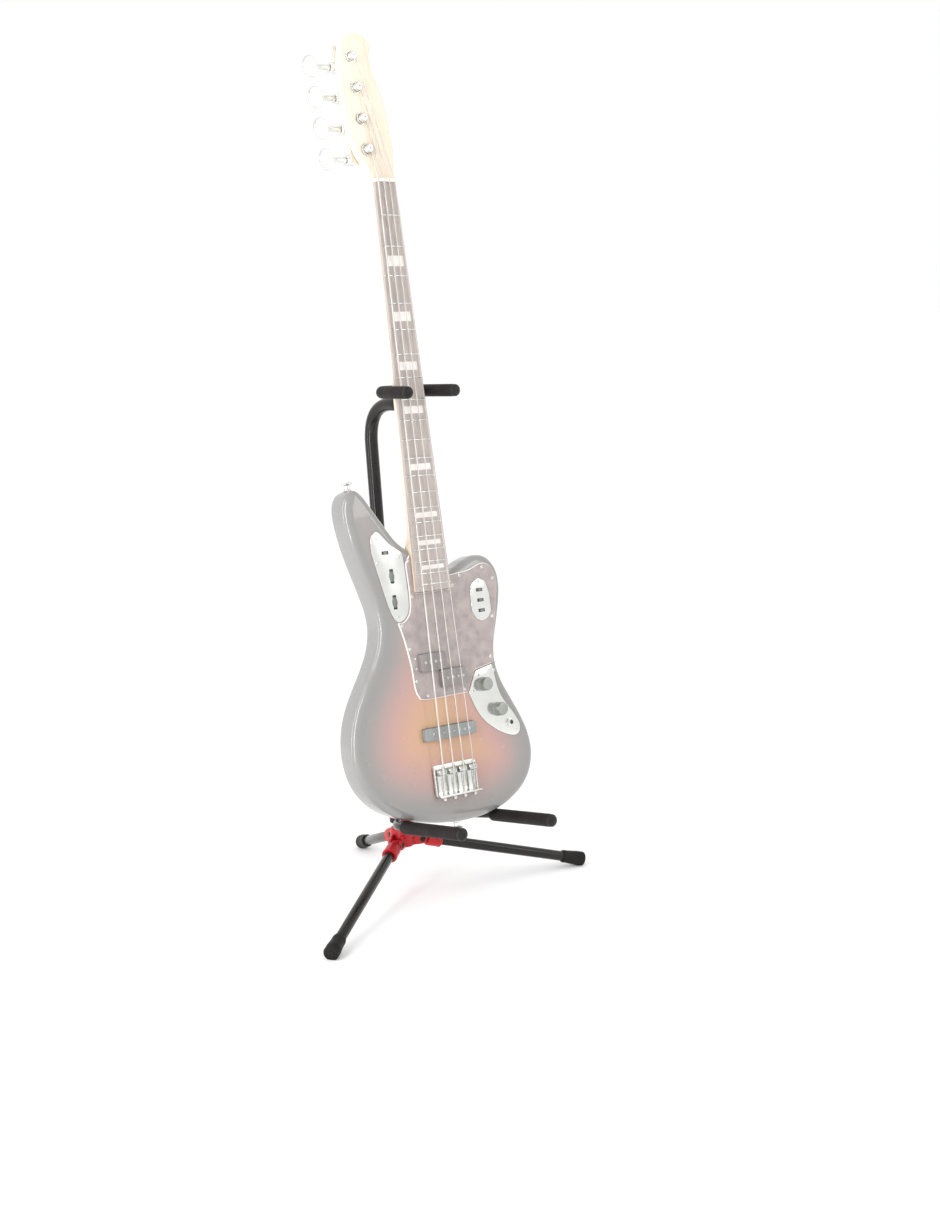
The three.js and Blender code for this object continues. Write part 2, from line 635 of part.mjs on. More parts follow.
function yokePath(end) {
  const corners = [
    [-yokeSide(end), end], [-yokeSide(0), 0], [yokeSide(0), 0], [yokeSide(end), end],
  ].map(([x, reach]) => yokePoint(x, reach));
  return roundedPath(corners, YOKE_CORNER);
}

function yokeStem(radius, foot) {
  const top = yokePoint(0, 0);
  return rod(radius, foot, top.z, 16).translate(0, top.y, 0);
}

function makeYoke() {
  const plugStart = YOKE_ARM_LENGTH - PLUG_LENGTH;
  const added = [tubeAlong(yokePath(plugStart + 1), YOKE_ROD_RADIUS, 0, 28, 4)];
  for (const side of [-1, 1]) {
    const start = yokePoint(side * yokeSide(plugStart), plugStart);
    const along = start.clone().sub(yokePoint(side * yokeSide(0), 0)).normalize();
    added.push(plugAt(start, along, YOKE_PAD_RADIUS - CLEARANCE));
  }
  added.push(yokeStem(YOKE_STEM_RADIUS, YOKE_HEIGHT - YOKE_PAD_RADIUS));
  return piece('yoke_frame', combine(added), paint.tube());
}

function makeYokePad() {
  const end = YOKE_ARM_LENGTH - PLUG_LENGTH - CLEARANCE;
  const sleeve = tubeAlong(yokePath(end), YOKE_PAD_RADIUS, YOKE_ROD_RADIUS + CLEARANCE, 28, 6);
  const hole = yokeStem(YOKE_STEM_RADIUS + CLEARANCE, YOKE_HEIGHT - 2 * YOKE_PAD_RADIUS);
  return piece('yoke_pad', combine([sleeve], [hole]), paint.foam());
}

// ---------------------------------------------------------------- guitar body
function fretDistance(n) {
  return SCALE_LENGTH * (1 - 2 ** (-n / 12));
}

const lastFretY = SCALE_LENGTH - fretDistance(FRET_COUNT);
const fingerboardEnd = lastFretY - FINGERBOARD_OVERHANG;
const widthSlope = (LAST_FRET_WIDTH - NUT_WIDTH) / fretDistance(FRET_COUNT);

function neckHalfWidth(y) {
  return (NUT_WIDTH + widthSlope * (SCALE_LENGTH - y)) / 2;
}

const pocketHalfWidth = neckHalfWidth(fingerboardEnd) + CLEARANCE;

function pickupBox(spec, [x, y], grow, z0, z1) {
  const [halfWidth, halfLength] = [spec.width / 2 + grow, spec.length / 2 + grow];
  const corners = rectangle(x - halfWidth, x + halfWidth, y - halfLength, y + halfLength);
  return plate(roundedOutline(corners, 3, 3), z0, z1);
}

const rollerPlane = CLEARANCE + PLATE_THICKNESS;
const rollerZ = rollerPlane + ROLLER_PROUD - ROLLER_RADIUS;

function rollerSlot(y, grow) {
  const [halfX, halfY] = [ROLLER_WIDTH / 2 + grow, ROLLER_RADIUS + grow];
  return [ROLLER_X - halfX, ROLLER_X + halfX, y - halfY, y + halfY];
}

function makeBody() {
  const blank = plate(bodyOutline, -BODY_THICKNESS, 0, EDGE_RADIUS);
  const pocket = box(-pocketHalfWidth, pocketHalfWidth, fingerboardEnd - CLEARANCE, 400,
    -HEEL_DEPTH - CLEARANCE, 20);
  const removed = [pocket];
  for (const centre of SPLIT_PICKUP_CENTRES) {
    removed.push(pickupBox(SPLIT_PICKUP, centre, 0.5, -SPLIT_PICKUP.depth - 1, CUT_ABOVE));
  }
  removed.push(pickupBox(BRIDGE_PICKUP, [0, BRIDGE_PICKUP_Y], 0.5, -BRIDGE_PICKUP.depth - 1, CUT_ABOVE));
  for (const y of ROLLERS_Y) {
    const [x0, x1, y0, y1] = rollerSlot(y, 2);
    removed.push(box(x0, x1, y0, y1, rollerZ - ROLLER_RADIUS - 2, CUT_ABOVE));
  }
  for (const [x, y] of slidePlaces()) {
    const [halfX, halfY] = [SLIDE_SLOT.length / 2 + 1, SLIDE_SLOT.width / 2 + 1];
    removed.push(box(x - halfX, x + halfX, y - halfY, y + halfY, CUT_BELOW, CUT_ABOVE));
  }
  return piece('body', combine([blank], removed), paint.finish());
}

function slidePlaces() {
  return [UPPER_SLIDE_CENTRE, ...HORN_SLIDES_Y.map((y) => [HORN_SLIDE_X, y])];
}

// ---------------------------------------------------------------- neck
// A bar along the neck whose section is a flat top with a rounded back, lofted through stations.
function neckShaft(top, stations) {
  const around = 12;
  const ring = ({ y, half, back }) => {
    const points = [];
    for (let i = 0; i <= around; i += 1) {
      const angle = Math.PI + (Math.PI * i) / around;
      const side = Math.sign(Math.cos(angle)) * Math.abs(Math.cos(angle)) ** 0.8;
      points.push([half * side, y, top - (back + top) * Math.abs(Math.sin(angle)) ** 0.8]);
    }
    return points;
  };
  const positions = [];
  const rings = stations.map(ring);
  const triangle = (a, b, c) => positions.push(...a, ...b, ...c);
  for (let s = 0; s < rings.length - 1; s += 1) {
    for (let i = 0; i <= around; i += 1) {
      const j = (i + 1) % (around + 1);
      triangle(rings[s][i], rings[s][j], rings[s + 1][j]);
      triangle(rings[s][i], rings[s + 1][j], rings[s + 1][i]);
    }
  }
  for (const end of [rings[0], rings[rings.length - 1]]) {
    for (let i = 1; i < around; i += 1) {
      if (end === rings[0]) triangle(end[0], end[i + 1], end[i]);
      else triangle(end[0], end[i], end[i + 1]);
    }
  }
  const geometry = new THREE.BufferGeometry();
  geometry.setAttribute('position', new THREE.Float32BufferAttribute(positions, 3));
  return outward(geometry);
}

const headFace = HEADSTOCK_THICKNESS - HEADSTOCK_BACK;
const HEADSTOCK_OUTLINE = [
  [-20, 0], [-23, 20], [-37, 41], [-47, 70], [-51, 106], [-52, 146], [-50, 181],
  [-42, 206], [-24, 219], [-4, 216], [6, 202], [2, 184], [4, 164], [15, 134],
  [23, 91], [26, 51], [23, 22], [20, 0],
];

function tunerPlaces() {
  const places = [];
  for (let i = 0; i < STRING_COUNT; i += 1) {
    places.push([TUNER_FIRST[0] + i * TUNER_STEP[0], SCALE_LENGTH + TUNER_FIRST[1] + i * TUNER_STEP[1]]);
  }
  return places;
}

function makeNeck() {
  const top = FINGERBOARD_TOP - FINGERBOARD_THICKNESS - CLEARANCE;
  const heelEnd = fingerboardEnd + HEEL_LENGTH;
  const nutEdge = SCALE_LENGTH;
  const heel = plate(vectors([
    [-neckHalfWidth(fingerboardEnd), fingerboardEnd], [neckHalfWidth(fingerboardEnd), fingerboardEnd],
    [neckHalfWidth(heelEnd), heelEnd], [-neckHalfWidth(heelEnd), heelEnd],
  ]), -HEEL_DEPTH, top);
  const places = [heelEnd - 20, heelEnd + 25, (heelEnd + nutEdge) / 2, nutEdge - 40, nutEdge + 10];
  const stations = places.map((y) => ({
    y, half: neckHalfWidth(y), back: y > nutEdge ? HEADSTOCK_BACK : NECK_BACK,
  }));
  const head = plate(vectors(HEADSTOCK_OUTLINE), -HEADSTOCK_BACK, headFace, 1.5).translate(0, nutEdge, 0);
  const ledgeEnd = nutEdge + NUT_LENGTH + CLEARANCE;
  const blend = box(-40, 40, ledgeEnd, ledgeEnd + 20, headFace, top + 1);
  const holes = tunerPlaces().map(([x, y]) => (
    rod(TUNER_POST_RADIUS + RUNNING_CLEARANCE, -20, 20).translate(x, y, 0)));
  return piece('neck', combine([heel, neckShaft(top, stations), head], [blend, ...holes]), paint.maple());
}

function makeFingerboard() {
  const [halfEnd, halfNut] = [neckHalfWidth(fingerboardEnd), neckHalfWidth(SCALE_LENGTH)];
  const bottom = FINGERBOARD_TOP - FINGERBOARD_THICKNESS;
  const board = plate(vectors([
    [-halfEnd, fingerboardEnd], [halfEnd, fingerboardEnd], [halfNut, SCALE_LENGTH], [-halfNut, SCALE_LENGTH],
  ]), bottom, FINGERBOARD_TOP);
  const added = [board];
  for (let n = 1; n <= FRET_COUNT; n += 1) {
    const y = SCALE_LENGTH - fretDistance(n);
    const half = neckHalfWidth(y) - 0.8;
    added.push(box(-half, half, y - FRET_WIDTH / 2, y + FRET_WIDTH / 2,
      FINGERBOARD_TOP - 1, FINGERBOARD_TOP + FRET_HEIGHT));
  }
  return piece('fingerboard', combine(added), paint.fingerboard());
}

// ---------------------------------------------------------------- strings
function stringRoute(i) {
  const share = i / (STRING_COUNT - 1) - 0.5;
  const [postX, postY] = tunerPlaces()[i];
  const radius = STRING_RADII[i];
  const besidePost = postX + TUNER_POST_RADIUS + CLEARANCE + radius;
  const saddleX = share * SADDLE_SPREAD;
  return {
    radius,
    anchor: new THREE.Vector3(saddleX, BRIDGE_BACK - CLEARANCE - BALL_RADIUS, STRING_HEIGHT_AT_SADDLE - 5),
    saddle: new THREE.Vector3(saddleX, 0, STRING_HEIGHT_AT_SADDLE),
    nut: new THREE.Vector3(share * NUT_SPREAD, SCALE_LENGTH + NUT_LENGTH / 2, STRING_HEIGHT_AT_NUT),
    post: new THREE.Vector3(besidePost, postY, STRING_HEIGHT_AT_POST),
  };
}

function stringRods(i, grow, sides = 6) {
  const { radius, anchor, saddle, nut, post } = stringRoute(i);
  return [[anchor, saddle], [saddle, nut], [nut, post]].map(([from, to]) => (
    rodBetween(from, to, radius + grow, sides)));
}

function makeString(i) {
  const { radius, anchor } = stringRoute(i);
  const ball = new THREE.SphereGeometry(BALL_RADIUS, 6, 4).translate(anchor.x, anchor.y, anchor.z);
  const [postX, postY] = tunerPlaces()[i];
  const inner = TUNER_POST_RADIUS + CLEARANCE;
  const [low, high] = [STRING_HEIGHT_AT_POST - 3 * radius, STRING_HEIGHT_AT_POST + radius];
  const coil = pipe(inner + 2 * radius, inner, low, high, 12).translate(postX, postY, 0);
  const string = combine([...stringRods(i, 0), ball, coil]);
  return piece(`string_${i + 1}`, string, paint.steel());
}

function makeNut() {
  const bottom = FINGERBOARD_TOP - FINGERBOARD_THICKNESS;
  const half = NUT_WIDTH / 2;
  const start = SCALE_LENGTH + CLEARANCE;
  const block = box(-half, half, start, start + NUT_LENGTH - CLEARANCE, bottom, NUT_TOP);
  const slots = [];
  for (let i = 0; i < STRING_COUNT; i += 1) {
    slots.push(...stringRods(i, CLEARANCE).slice(1));
  }
  return piece('nut', combine([block], slots), paint.bone());
}

// ---------------------------------------------------------------- bridge and pickups
function makeBridge() {
  const half = BRIDGE_WIDTH / 2;
  const base = plate(roundedOutline(rectangle(-half, half, BRIDGE_BACK, BRIDGE_FRONT), 5, 4),
    CLEARANCE, CLEARANCE + BRIDGE_THICKNESS);
  const wall = box(-half, half, BRIDGE_BACK, BRIDGE_BACK + 2.5, CLEARANCE, BRIDGE_WALL_TOP);
  const holes = [];
  for (let i = 0; i < STRING_COUNT; i += 1) holes.push(stringRods(i, RUNNING_CLEARANCE)[0]);
  return piece('bridge_plate', combine([base, wall], holes), paint.chrome());
}

function makeSaddle(i) {
  const { saddle } = stringRoute(i);
  const half = Math.min(SADDLE_WIDTH, SADDLE_SPREAD / (STRING_COUNT - 1) - 1) / 2;
  const bottom = CLEARANCE + BRIDGE_THICKNESS + CLEARANCE;
  const block = box(saddle.x - half, saddle.x + half, -SADDLE_LENGTH + 2, 2, bottom, saddle.z);
  const slots = stringRods(i, CLEARANCE).slice(0, 2);
  return piece(`saddle_${i + 1}`, combine([block], slots), paint.steel());
}

function makePickups() {
  const split = SPLIT_PICKUP_CENTRES.map((centre, i) => piece(
    `split_pickup_${i === 0 ? 'bass' : 'treble'}`,
    pickupBox(SPLIT_PICKUP, centre, 0, -SPLIT_PICKUP.depth, SPLIT_PICKUP.top), paint.pickup()));
  const bar = pickupBox(BRIDGE_PICKUP, [0, BRIDGE_PICKUP_Y], 0, -BRIDGE_PICKUP.depth, BRIDGE_PICKUP.top);
  return [...split, piece('bridge_pickup', bar, paint.pickup())];
}

// ---------------------------------------------------------------- plates
function makePickguard() {
  const side = pocketHalfWidth + 0.7;
  const end = fingerboardEnd - 1;
  const guard = [
    ...GUARD_LEFT_EDGE, [-side, 319], [-side, end], [side, end], ...GUARD_RIGHT_EDGE,
    [61.5, 136], [44, 104.5],
  ];
  const z0 = CLEARANCE;
  const blank = plate(roundedOutline(guard, 3, 2), z0, z0 + GUARD_THICKNESS);
  const cuts = SPLIT_PICKUP_CENTRES.map((centre) => (
    pickupBox(SPLIT_PICKUP, centre, 0.5, CUT_BELOW, CUT_ABOVE)));
  for (const y of HORN_SLIDES_Y) {
    const [halfX, halfY] = [SLIDE_SLOT.length / 2 + 1, SLIDE_SLOT.width / 2 + 1];
    cuts.push(box(HORN_SLIDE_X - halfX, HORN_SLIDE_X + halfX, y - halfY, y + halfY, CUT_BELOW, CUT_ABOVE));
  }
  return piece('pickguard', combine([blank], cuts), paint.guard());
}

function slideSlot([x, y]) {
  const [halfX, halfY] = [SLIDE_SLOT.length / 2, SLIDE_SLOT.width / 2];
  return box(x - halfX, x + halfX, y - halfY, y + halfY, CUT_BELOW, CUT_ABOVE);
}

function makePlates() {
  const upper = plate(roundedOutline(UPPER_PLATE_OUTLINE, 4, 3), CLEARANCE, CLEARANCE + PLATE_THICKNESS);
  const upperCuts = ROLLERS_Y.map((y) => {
    const [x0, x1, y0, y1] = rollerSlot(y, RUNNING_CLEARANCE);
    return box(x0, x1, y0, y1, CUT_BELOW, CUT_ABOVE);
  });
  upperCuts.push(slideSlot(UPPER_SLIDE_CENTRE));
  const hornBottom = CLEARANCE + GUARD_THICKNESS + CLEARANCE;
  const horn = plate(roundedOutline(HORN_PLATE_OUTLINE, 5, 3), hornBottom, hornBottom + PLATE_THICKNESS);
  const hornCuts = HORN_SLIDES_Y.map((y) => slideSlot([HORN_SLIDE_X, y]));
  const lower = plate(roundedOutline(LOWER_PLATE_OUTLINE, 6, 3), CLEARANCE, CLEARANCE + PLATE_THICKNESS);
  const [jackX, jackY] = JACK_CENTRE;
  const jack = rod(JACK_RADIUS, CLEARANCE, CLEARANCE + PLATE_THICKNESS + JACK_HEIGHT, 6)
    .translate(jackX, jackY, 0);
  return [
    piece('upper_control_plate', combine([upper], upperCuts), paint.chrome()),
    piece('horn_switch_plate', combine([horn], hornCuts), paint.chrome()),
    piece('lower_control_plate', combine([lower, jack]), paint.chrome()),
  ];
}

// ---------------------------------------------------------------- controls
function makeKnobs() {
  const z0 = CLEARANCE + PLATE_THICKNESS + RUNNING_CLEARANCE;
  const z1 = z0 + KNOB_HEIGHT;
  const shape = () => revolve([
    [0, z0], [KNOB_RADIUS, z0], [KNOB_RADIUS - 0.6, z1 - 2], [KNOB_RADIUS - 2.5, z1], [0, z1],
  ], 20);
  return KNOB_CENTRES.map(([x, y], i) => {
    const knob = piece(`knob_${i === 0 ? 'volume' : 'tone'}`, shape(), paint.chrome());
    knob.position.set(x, y, 0);
    return knob;
  });
}

function makeSlideTabs() {
  const names = ['slide_switch_upper', 'slide_switch_horn_1', 'slide_switch_horn_2', 'slide_switch_horn_3'];
  return slidePlaces().map(([x, y], i) => {
    const base = i === 0 ? CLEARANCE : 2 * CLEARANCE + GUARD_THICKNESS;
    const [halfX, halfY] = [SLIDE_TAB.length / 2, SLIDE_TAB.width / 2];
    const tab = box(-halfX, halfX, -halfY, halfY, base - 2, base + PLATE_THICKNESS + SLIDE_TAB.top - 2.5);
    const mesh = piece(names[i], tab, paint.pickup());
    mesh.position.set(x, y, 0);
    return mesh;
  });
}

function makeRollers() {
  return ROLLERS_Y.map((y, i) => {
    const half = ROLLER_WIDTH / 2;
    const wheel = rod(ROLLER_RADIUS - 0.3, -half, half, 20).rotateY(Math.PI / 2);
    const roller = piece(`roller_knob_${i + 1}`, wheel, paint.rubber());
    roller.position.set(ROLLER_X, y, rollerZ);
    return roller;
  });
}

function makeStrapButton(name, [x, y], sign) {
  const { stem, head, length } = STRAP_BUTTON;
  const button = revolve([
    [0, 0], [stem + 2, 0], [stem, 3], [stem, length - 4], [head, length - 3], [head, length - 1],
    [head - 1.5, length], [0, length],
  ], 12).rotateX(sign > 0 ? -Math.PI / 2 : Math.PI / 2);
  const mesh = piece(name, button, paint.chrome());
  mesh.position.set(x, y + sign * CLEARANCE, -BODY_THICKNESS / 2);
  return mesh;
}

// ---------------------------------------------------------------- tuners
function makeTuner(i) {
  const [x, y] = tunerPlaces()[i];
  const back = -HEADSTOCK_BACK;
  const axleZ = back - TUNER_AXLE_DEPTH;
  const axleY = y - TUNER_AXLE_OFFSET;

  const postBottom = back + CLEARANCE;
  const post = revolve([
    [0, postBottom], [TUNER_POST_RADIUS, postBottom], [TUNER_POST_RADIUS, TUNER_POST_TOP - 1],
    [TUNER_POST_RADIUS - 1, TUNER_POST_TOP], [0, TUNER_POST_TOP],
  ], 20).translate(x, y, 0);

  const plateTop = back - CLEARANCE;
  const plateBottom = plateTop - TUNER_PLATE.thickness;
  const [halfX, halfY] = [TUNER_PLATE.width / 2, TUNER_PLATE.length / 2];
  const foot = plate(roundedOutline(rectangle(x - halfX - 3, x + halfX - 3, y - halfY, y + halfY), 3, 2),
    plateBottom, plateTop);
  const block = box(x - TUNER_BLOCK.end, x - TUNER_BLOCK.start, axleY - TUNER_BLOCK.half,
    axleY + TUNER_BLOCK.half, axleZ - TUNER_BLOCK.half, plateTop);
  const bore = rod(TUNER_AXLE_RADIUS + RUNNING_CLEARANCE, 0, 60, 16).rotateY(-Math.PI / 2)
    .translate(x - TUNER_BLOCK.start - 3, axleY, axleZ);
  const gear = rod(TUNER_GEAR_RADIUS, axleZ - 2, plateTop, 20).translate(x, y, 0);

  const keyEnd = TUNER_AXLE_REACH;
  const axle = rod(TUNER_AXLE_RADIUS, TUNER_BLOCK.start + 3 + RUNNING_CLEARANCE, keyEnd, 10)
    .rotateY(-Math.PI / 2);
  const oval = [];
  for (let k = 0; k < 16; k += 1) {
    const angle = (2 * Math.PI * k) / 16;
    const across = TUNER_KEY.width / 2 * Math.cos(angle);
    oval.push(new THREE.Vector2(across, TUNER_KEY.height / 2 * Math.sin(angle)));
  }
  const half = TUNER_KEY.thickness / 2;
  const paddle = plate(oval, -half, half, 1).translate(-keyEnd - TUNER_KEY.width / 2 + 3, 0, 0);
  const key = combine([axle, paddle]).translate(x, axleY, axleZ);

  return [
    piece(`tuner_post_${i + 1}`, post, paint.chrome()),
    piece(`tuner_base_${i + 1}`, combine([foot, block, gear], [bore]), paint.chrome()),
    piece(`tuner_key_${i + 1}`, key, paint.chrome()),
  ];
}

// ---------------------------------------------------------------- assembly
function makeStand() {
  const stand = new THREE.Group();
  stand.add(makeHub());
  for (const leg of LEGS) stand.add(makeLeg(leg));
  stand.add(makeLowerPost(), makeClampKnob(), makeUpperPost(), makeCradle(), makeYoke(), makeYokePad());
  stand.add(makeCradlePad('left', -1), makeCradlePad('right', 1));
  return stand;
}

function makeGuitar() {
  const guitar = new THREE.Group();
  guitar.position.copy(guitarOrigin);
  guitar.rotation.x = Math.PI / 2 - GUITAR_LEAN;
  guitar.add(makeBody(), makeNeck(), makeFingerboard(), makeNut(), makePickguard(), ...makePlates());
  guitar.add(...makePickups(), makeBridge(), ...makeKnobs(), ...makeSlideTabs(), ...makeRollers());
  for (let i = 0; i < STRING_COUNT; i += 1) guitar.add(makeSaddle(i), makeString(i), ...makeTuner(i));
  guitar.add(makeStrapButton('strap_button_horn', HORN_BUTTON, 1));
  guitar.add(makeStrapButton('strap_button_end', END_BUTTON, -1));
  return guitar;
}

// Moves the whole object so that its middle is over the origin and its feet are on the floor.
function centred(object) {
  object.updateMatrixWorld(true);
  const bounds = new THREE.Box3().setFromObject(object, true);
  const middle = bounds.getCenter(new THREE.Vector3());
  object.position.set(-middle.x, -middle.y, -bounds.min.z);
  return object;
}

const bassOnStand = new THREE.Group();
bassOnStand.add(makeStand(), makeGuitar());

export default centred(bassOnStand);
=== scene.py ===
"""Looks of an electric bass guitar resting on a folding tubular stand.

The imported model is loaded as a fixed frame. Each class below builds one sub-assembly in its own
local millimetres, and hands its meshes to the workshop, which puts them in place in metres.
"""

from __future__ import annotations
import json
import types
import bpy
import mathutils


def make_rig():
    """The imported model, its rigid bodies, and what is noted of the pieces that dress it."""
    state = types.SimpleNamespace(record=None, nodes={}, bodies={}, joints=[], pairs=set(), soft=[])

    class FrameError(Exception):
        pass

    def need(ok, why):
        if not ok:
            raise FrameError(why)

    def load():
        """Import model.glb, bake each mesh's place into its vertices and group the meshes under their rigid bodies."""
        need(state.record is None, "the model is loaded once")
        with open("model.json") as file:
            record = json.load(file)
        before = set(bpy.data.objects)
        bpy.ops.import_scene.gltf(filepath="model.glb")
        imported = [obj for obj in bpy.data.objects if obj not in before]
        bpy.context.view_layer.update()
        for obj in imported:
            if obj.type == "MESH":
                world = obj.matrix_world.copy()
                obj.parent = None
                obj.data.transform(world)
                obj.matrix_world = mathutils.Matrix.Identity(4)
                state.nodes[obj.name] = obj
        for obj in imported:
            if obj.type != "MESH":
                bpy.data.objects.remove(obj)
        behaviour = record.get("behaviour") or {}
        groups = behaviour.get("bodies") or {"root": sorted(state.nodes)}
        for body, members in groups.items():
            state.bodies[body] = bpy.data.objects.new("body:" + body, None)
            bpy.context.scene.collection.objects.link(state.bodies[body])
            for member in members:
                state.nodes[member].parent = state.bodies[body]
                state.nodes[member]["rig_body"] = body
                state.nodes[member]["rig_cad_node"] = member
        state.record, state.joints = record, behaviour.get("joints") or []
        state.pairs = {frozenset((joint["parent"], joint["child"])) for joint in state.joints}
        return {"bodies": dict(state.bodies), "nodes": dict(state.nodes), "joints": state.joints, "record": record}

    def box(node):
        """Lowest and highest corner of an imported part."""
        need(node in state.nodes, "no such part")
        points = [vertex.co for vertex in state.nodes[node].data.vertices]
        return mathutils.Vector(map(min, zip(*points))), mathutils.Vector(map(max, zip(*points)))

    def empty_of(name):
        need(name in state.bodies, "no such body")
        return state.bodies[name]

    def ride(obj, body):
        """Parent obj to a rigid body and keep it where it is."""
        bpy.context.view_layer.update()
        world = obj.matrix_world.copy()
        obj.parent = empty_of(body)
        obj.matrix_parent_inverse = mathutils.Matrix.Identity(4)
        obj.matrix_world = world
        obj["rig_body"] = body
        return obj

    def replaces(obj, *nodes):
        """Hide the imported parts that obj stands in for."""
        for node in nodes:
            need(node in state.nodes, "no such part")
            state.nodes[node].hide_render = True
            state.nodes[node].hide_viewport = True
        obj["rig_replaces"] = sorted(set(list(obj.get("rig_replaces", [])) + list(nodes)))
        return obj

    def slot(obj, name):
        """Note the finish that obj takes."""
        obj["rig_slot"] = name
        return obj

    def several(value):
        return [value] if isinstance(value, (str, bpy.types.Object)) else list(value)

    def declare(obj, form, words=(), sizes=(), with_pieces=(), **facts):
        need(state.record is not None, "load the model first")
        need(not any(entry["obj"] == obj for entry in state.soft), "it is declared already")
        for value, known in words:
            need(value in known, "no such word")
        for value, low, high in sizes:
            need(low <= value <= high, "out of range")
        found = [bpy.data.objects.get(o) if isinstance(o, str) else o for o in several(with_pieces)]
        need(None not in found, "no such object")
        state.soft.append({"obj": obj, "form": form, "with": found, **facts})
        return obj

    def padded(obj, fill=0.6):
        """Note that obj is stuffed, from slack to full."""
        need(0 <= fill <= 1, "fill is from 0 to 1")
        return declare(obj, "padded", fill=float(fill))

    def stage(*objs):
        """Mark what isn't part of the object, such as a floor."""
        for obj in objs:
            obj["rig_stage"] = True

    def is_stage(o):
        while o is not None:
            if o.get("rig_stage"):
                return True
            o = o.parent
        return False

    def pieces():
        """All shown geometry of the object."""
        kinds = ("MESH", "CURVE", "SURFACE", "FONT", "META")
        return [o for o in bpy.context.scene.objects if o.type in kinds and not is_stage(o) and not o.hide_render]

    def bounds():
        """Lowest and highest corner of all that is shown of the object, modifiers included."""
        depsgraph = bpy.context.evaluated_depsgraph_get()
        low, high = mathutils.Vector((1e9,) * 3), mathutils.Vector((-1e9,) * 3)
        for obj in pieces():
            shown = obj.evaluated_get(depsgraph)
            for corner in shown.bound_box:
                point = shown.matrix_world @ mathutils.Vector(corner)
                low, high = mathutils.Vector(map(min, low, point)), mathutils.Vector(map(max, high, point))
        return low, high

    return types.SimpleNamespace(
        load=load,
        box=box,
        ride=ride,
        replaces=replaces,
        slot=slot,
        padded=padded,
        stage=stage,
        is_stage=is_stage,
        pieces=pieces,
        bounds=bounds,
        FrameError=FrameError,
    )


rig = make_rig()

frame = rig.load()

import json
import logging
import math
from dataclasses import dataclass, field
from enum import Enum

import bmesh
import bpy
import numpy as np
from mathutils import Matrix, Vector
from mathutils.geometry import delaunay_2d_cdt

LOG = logging.getLogger("bass_on_stand")
CAD_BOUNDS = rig.bounds()
MM = 0.001
Point = tuple[float, float]
Tree = bpy.types.NodeTree
Socket = bpy.types.NodeSocket
Thing = bpy.types.Object


# ---------- colour and nodes
def linear(hex_colour: str, alpha: float = 1.0) -> tuple[float, float, float, float]:
    """Turns an sRGB hex colour into the linear colour that nodes take.

    Args:
        hex_colour: Six hex digits, such as "c8242d".
        alpha: The fourth channel.

    Returns:
        Linear red, green and blue, and alpha.
    """
    parts = [int(hex_colour[i:i + 2], 16) / 255 for i in (0, 2, 4)]
    lit = [c / 12.92 if c <= 0.04045 else ((c + 0.055) / 1.055) ** 2.4 for c in parts]
    return (lit[0], lit[1], lit[2], alpha)


def add_node(tree: Tree, kind: str, links: dict | None = None, **settings) -> bpy.types.Node:
    """Adds one node to a tree.

    Args:
        tree: The material's or modifier's node tree.
        kind: The node's type name.
        links: Input name or number to a value, or to the output socket that feeds it.
        **settings: The node's own properties.

    Returns:
        The new node.
    """
    made = tree.nodes.new(kind)
    for name, value in settings.items():
        setattr(made, name, value)
    for key, value in (links or {}).items():
        if isinstance(value, Socket):
            tree.links.new(value, made.inputs[key])
        else:
            made.inputs[key].default_value = value
    return made


def set_ramp(ramp_node: bpy.types.Node, stops: list[tuple[float, str]]) -> None:
    """Gives a colour ramp its stops.

    Args:
        ramp_node: A Color Ramp node.
        stops: Position and sRGB hex colour of each stop, in order.
    """
    ramp = ramp_node.color_ramp
    ramp.elements[0].position, ramp.elements[0].color = stops[0][0], linear(stops[0][1])
    ramp.elements[1].position, ramp.elements[1].color = stops[-1][0], linear(stops[-1][1])
    for place, colour in stops[1:-1]:
        ramp.elements.new(place).color = linear(colour)


def new_object(name: str, data: bpy.types.ID) -> Thing:
    """Adds an object to the scene.

    Args:
        name: The object's name.
        data: The mesh, light or camera that it shows.

    Returns:
        The object.
    """
    made = bpy.data.objects.new(name, data)
    bpy.context.scene.collection.objects.link(made)
    return made


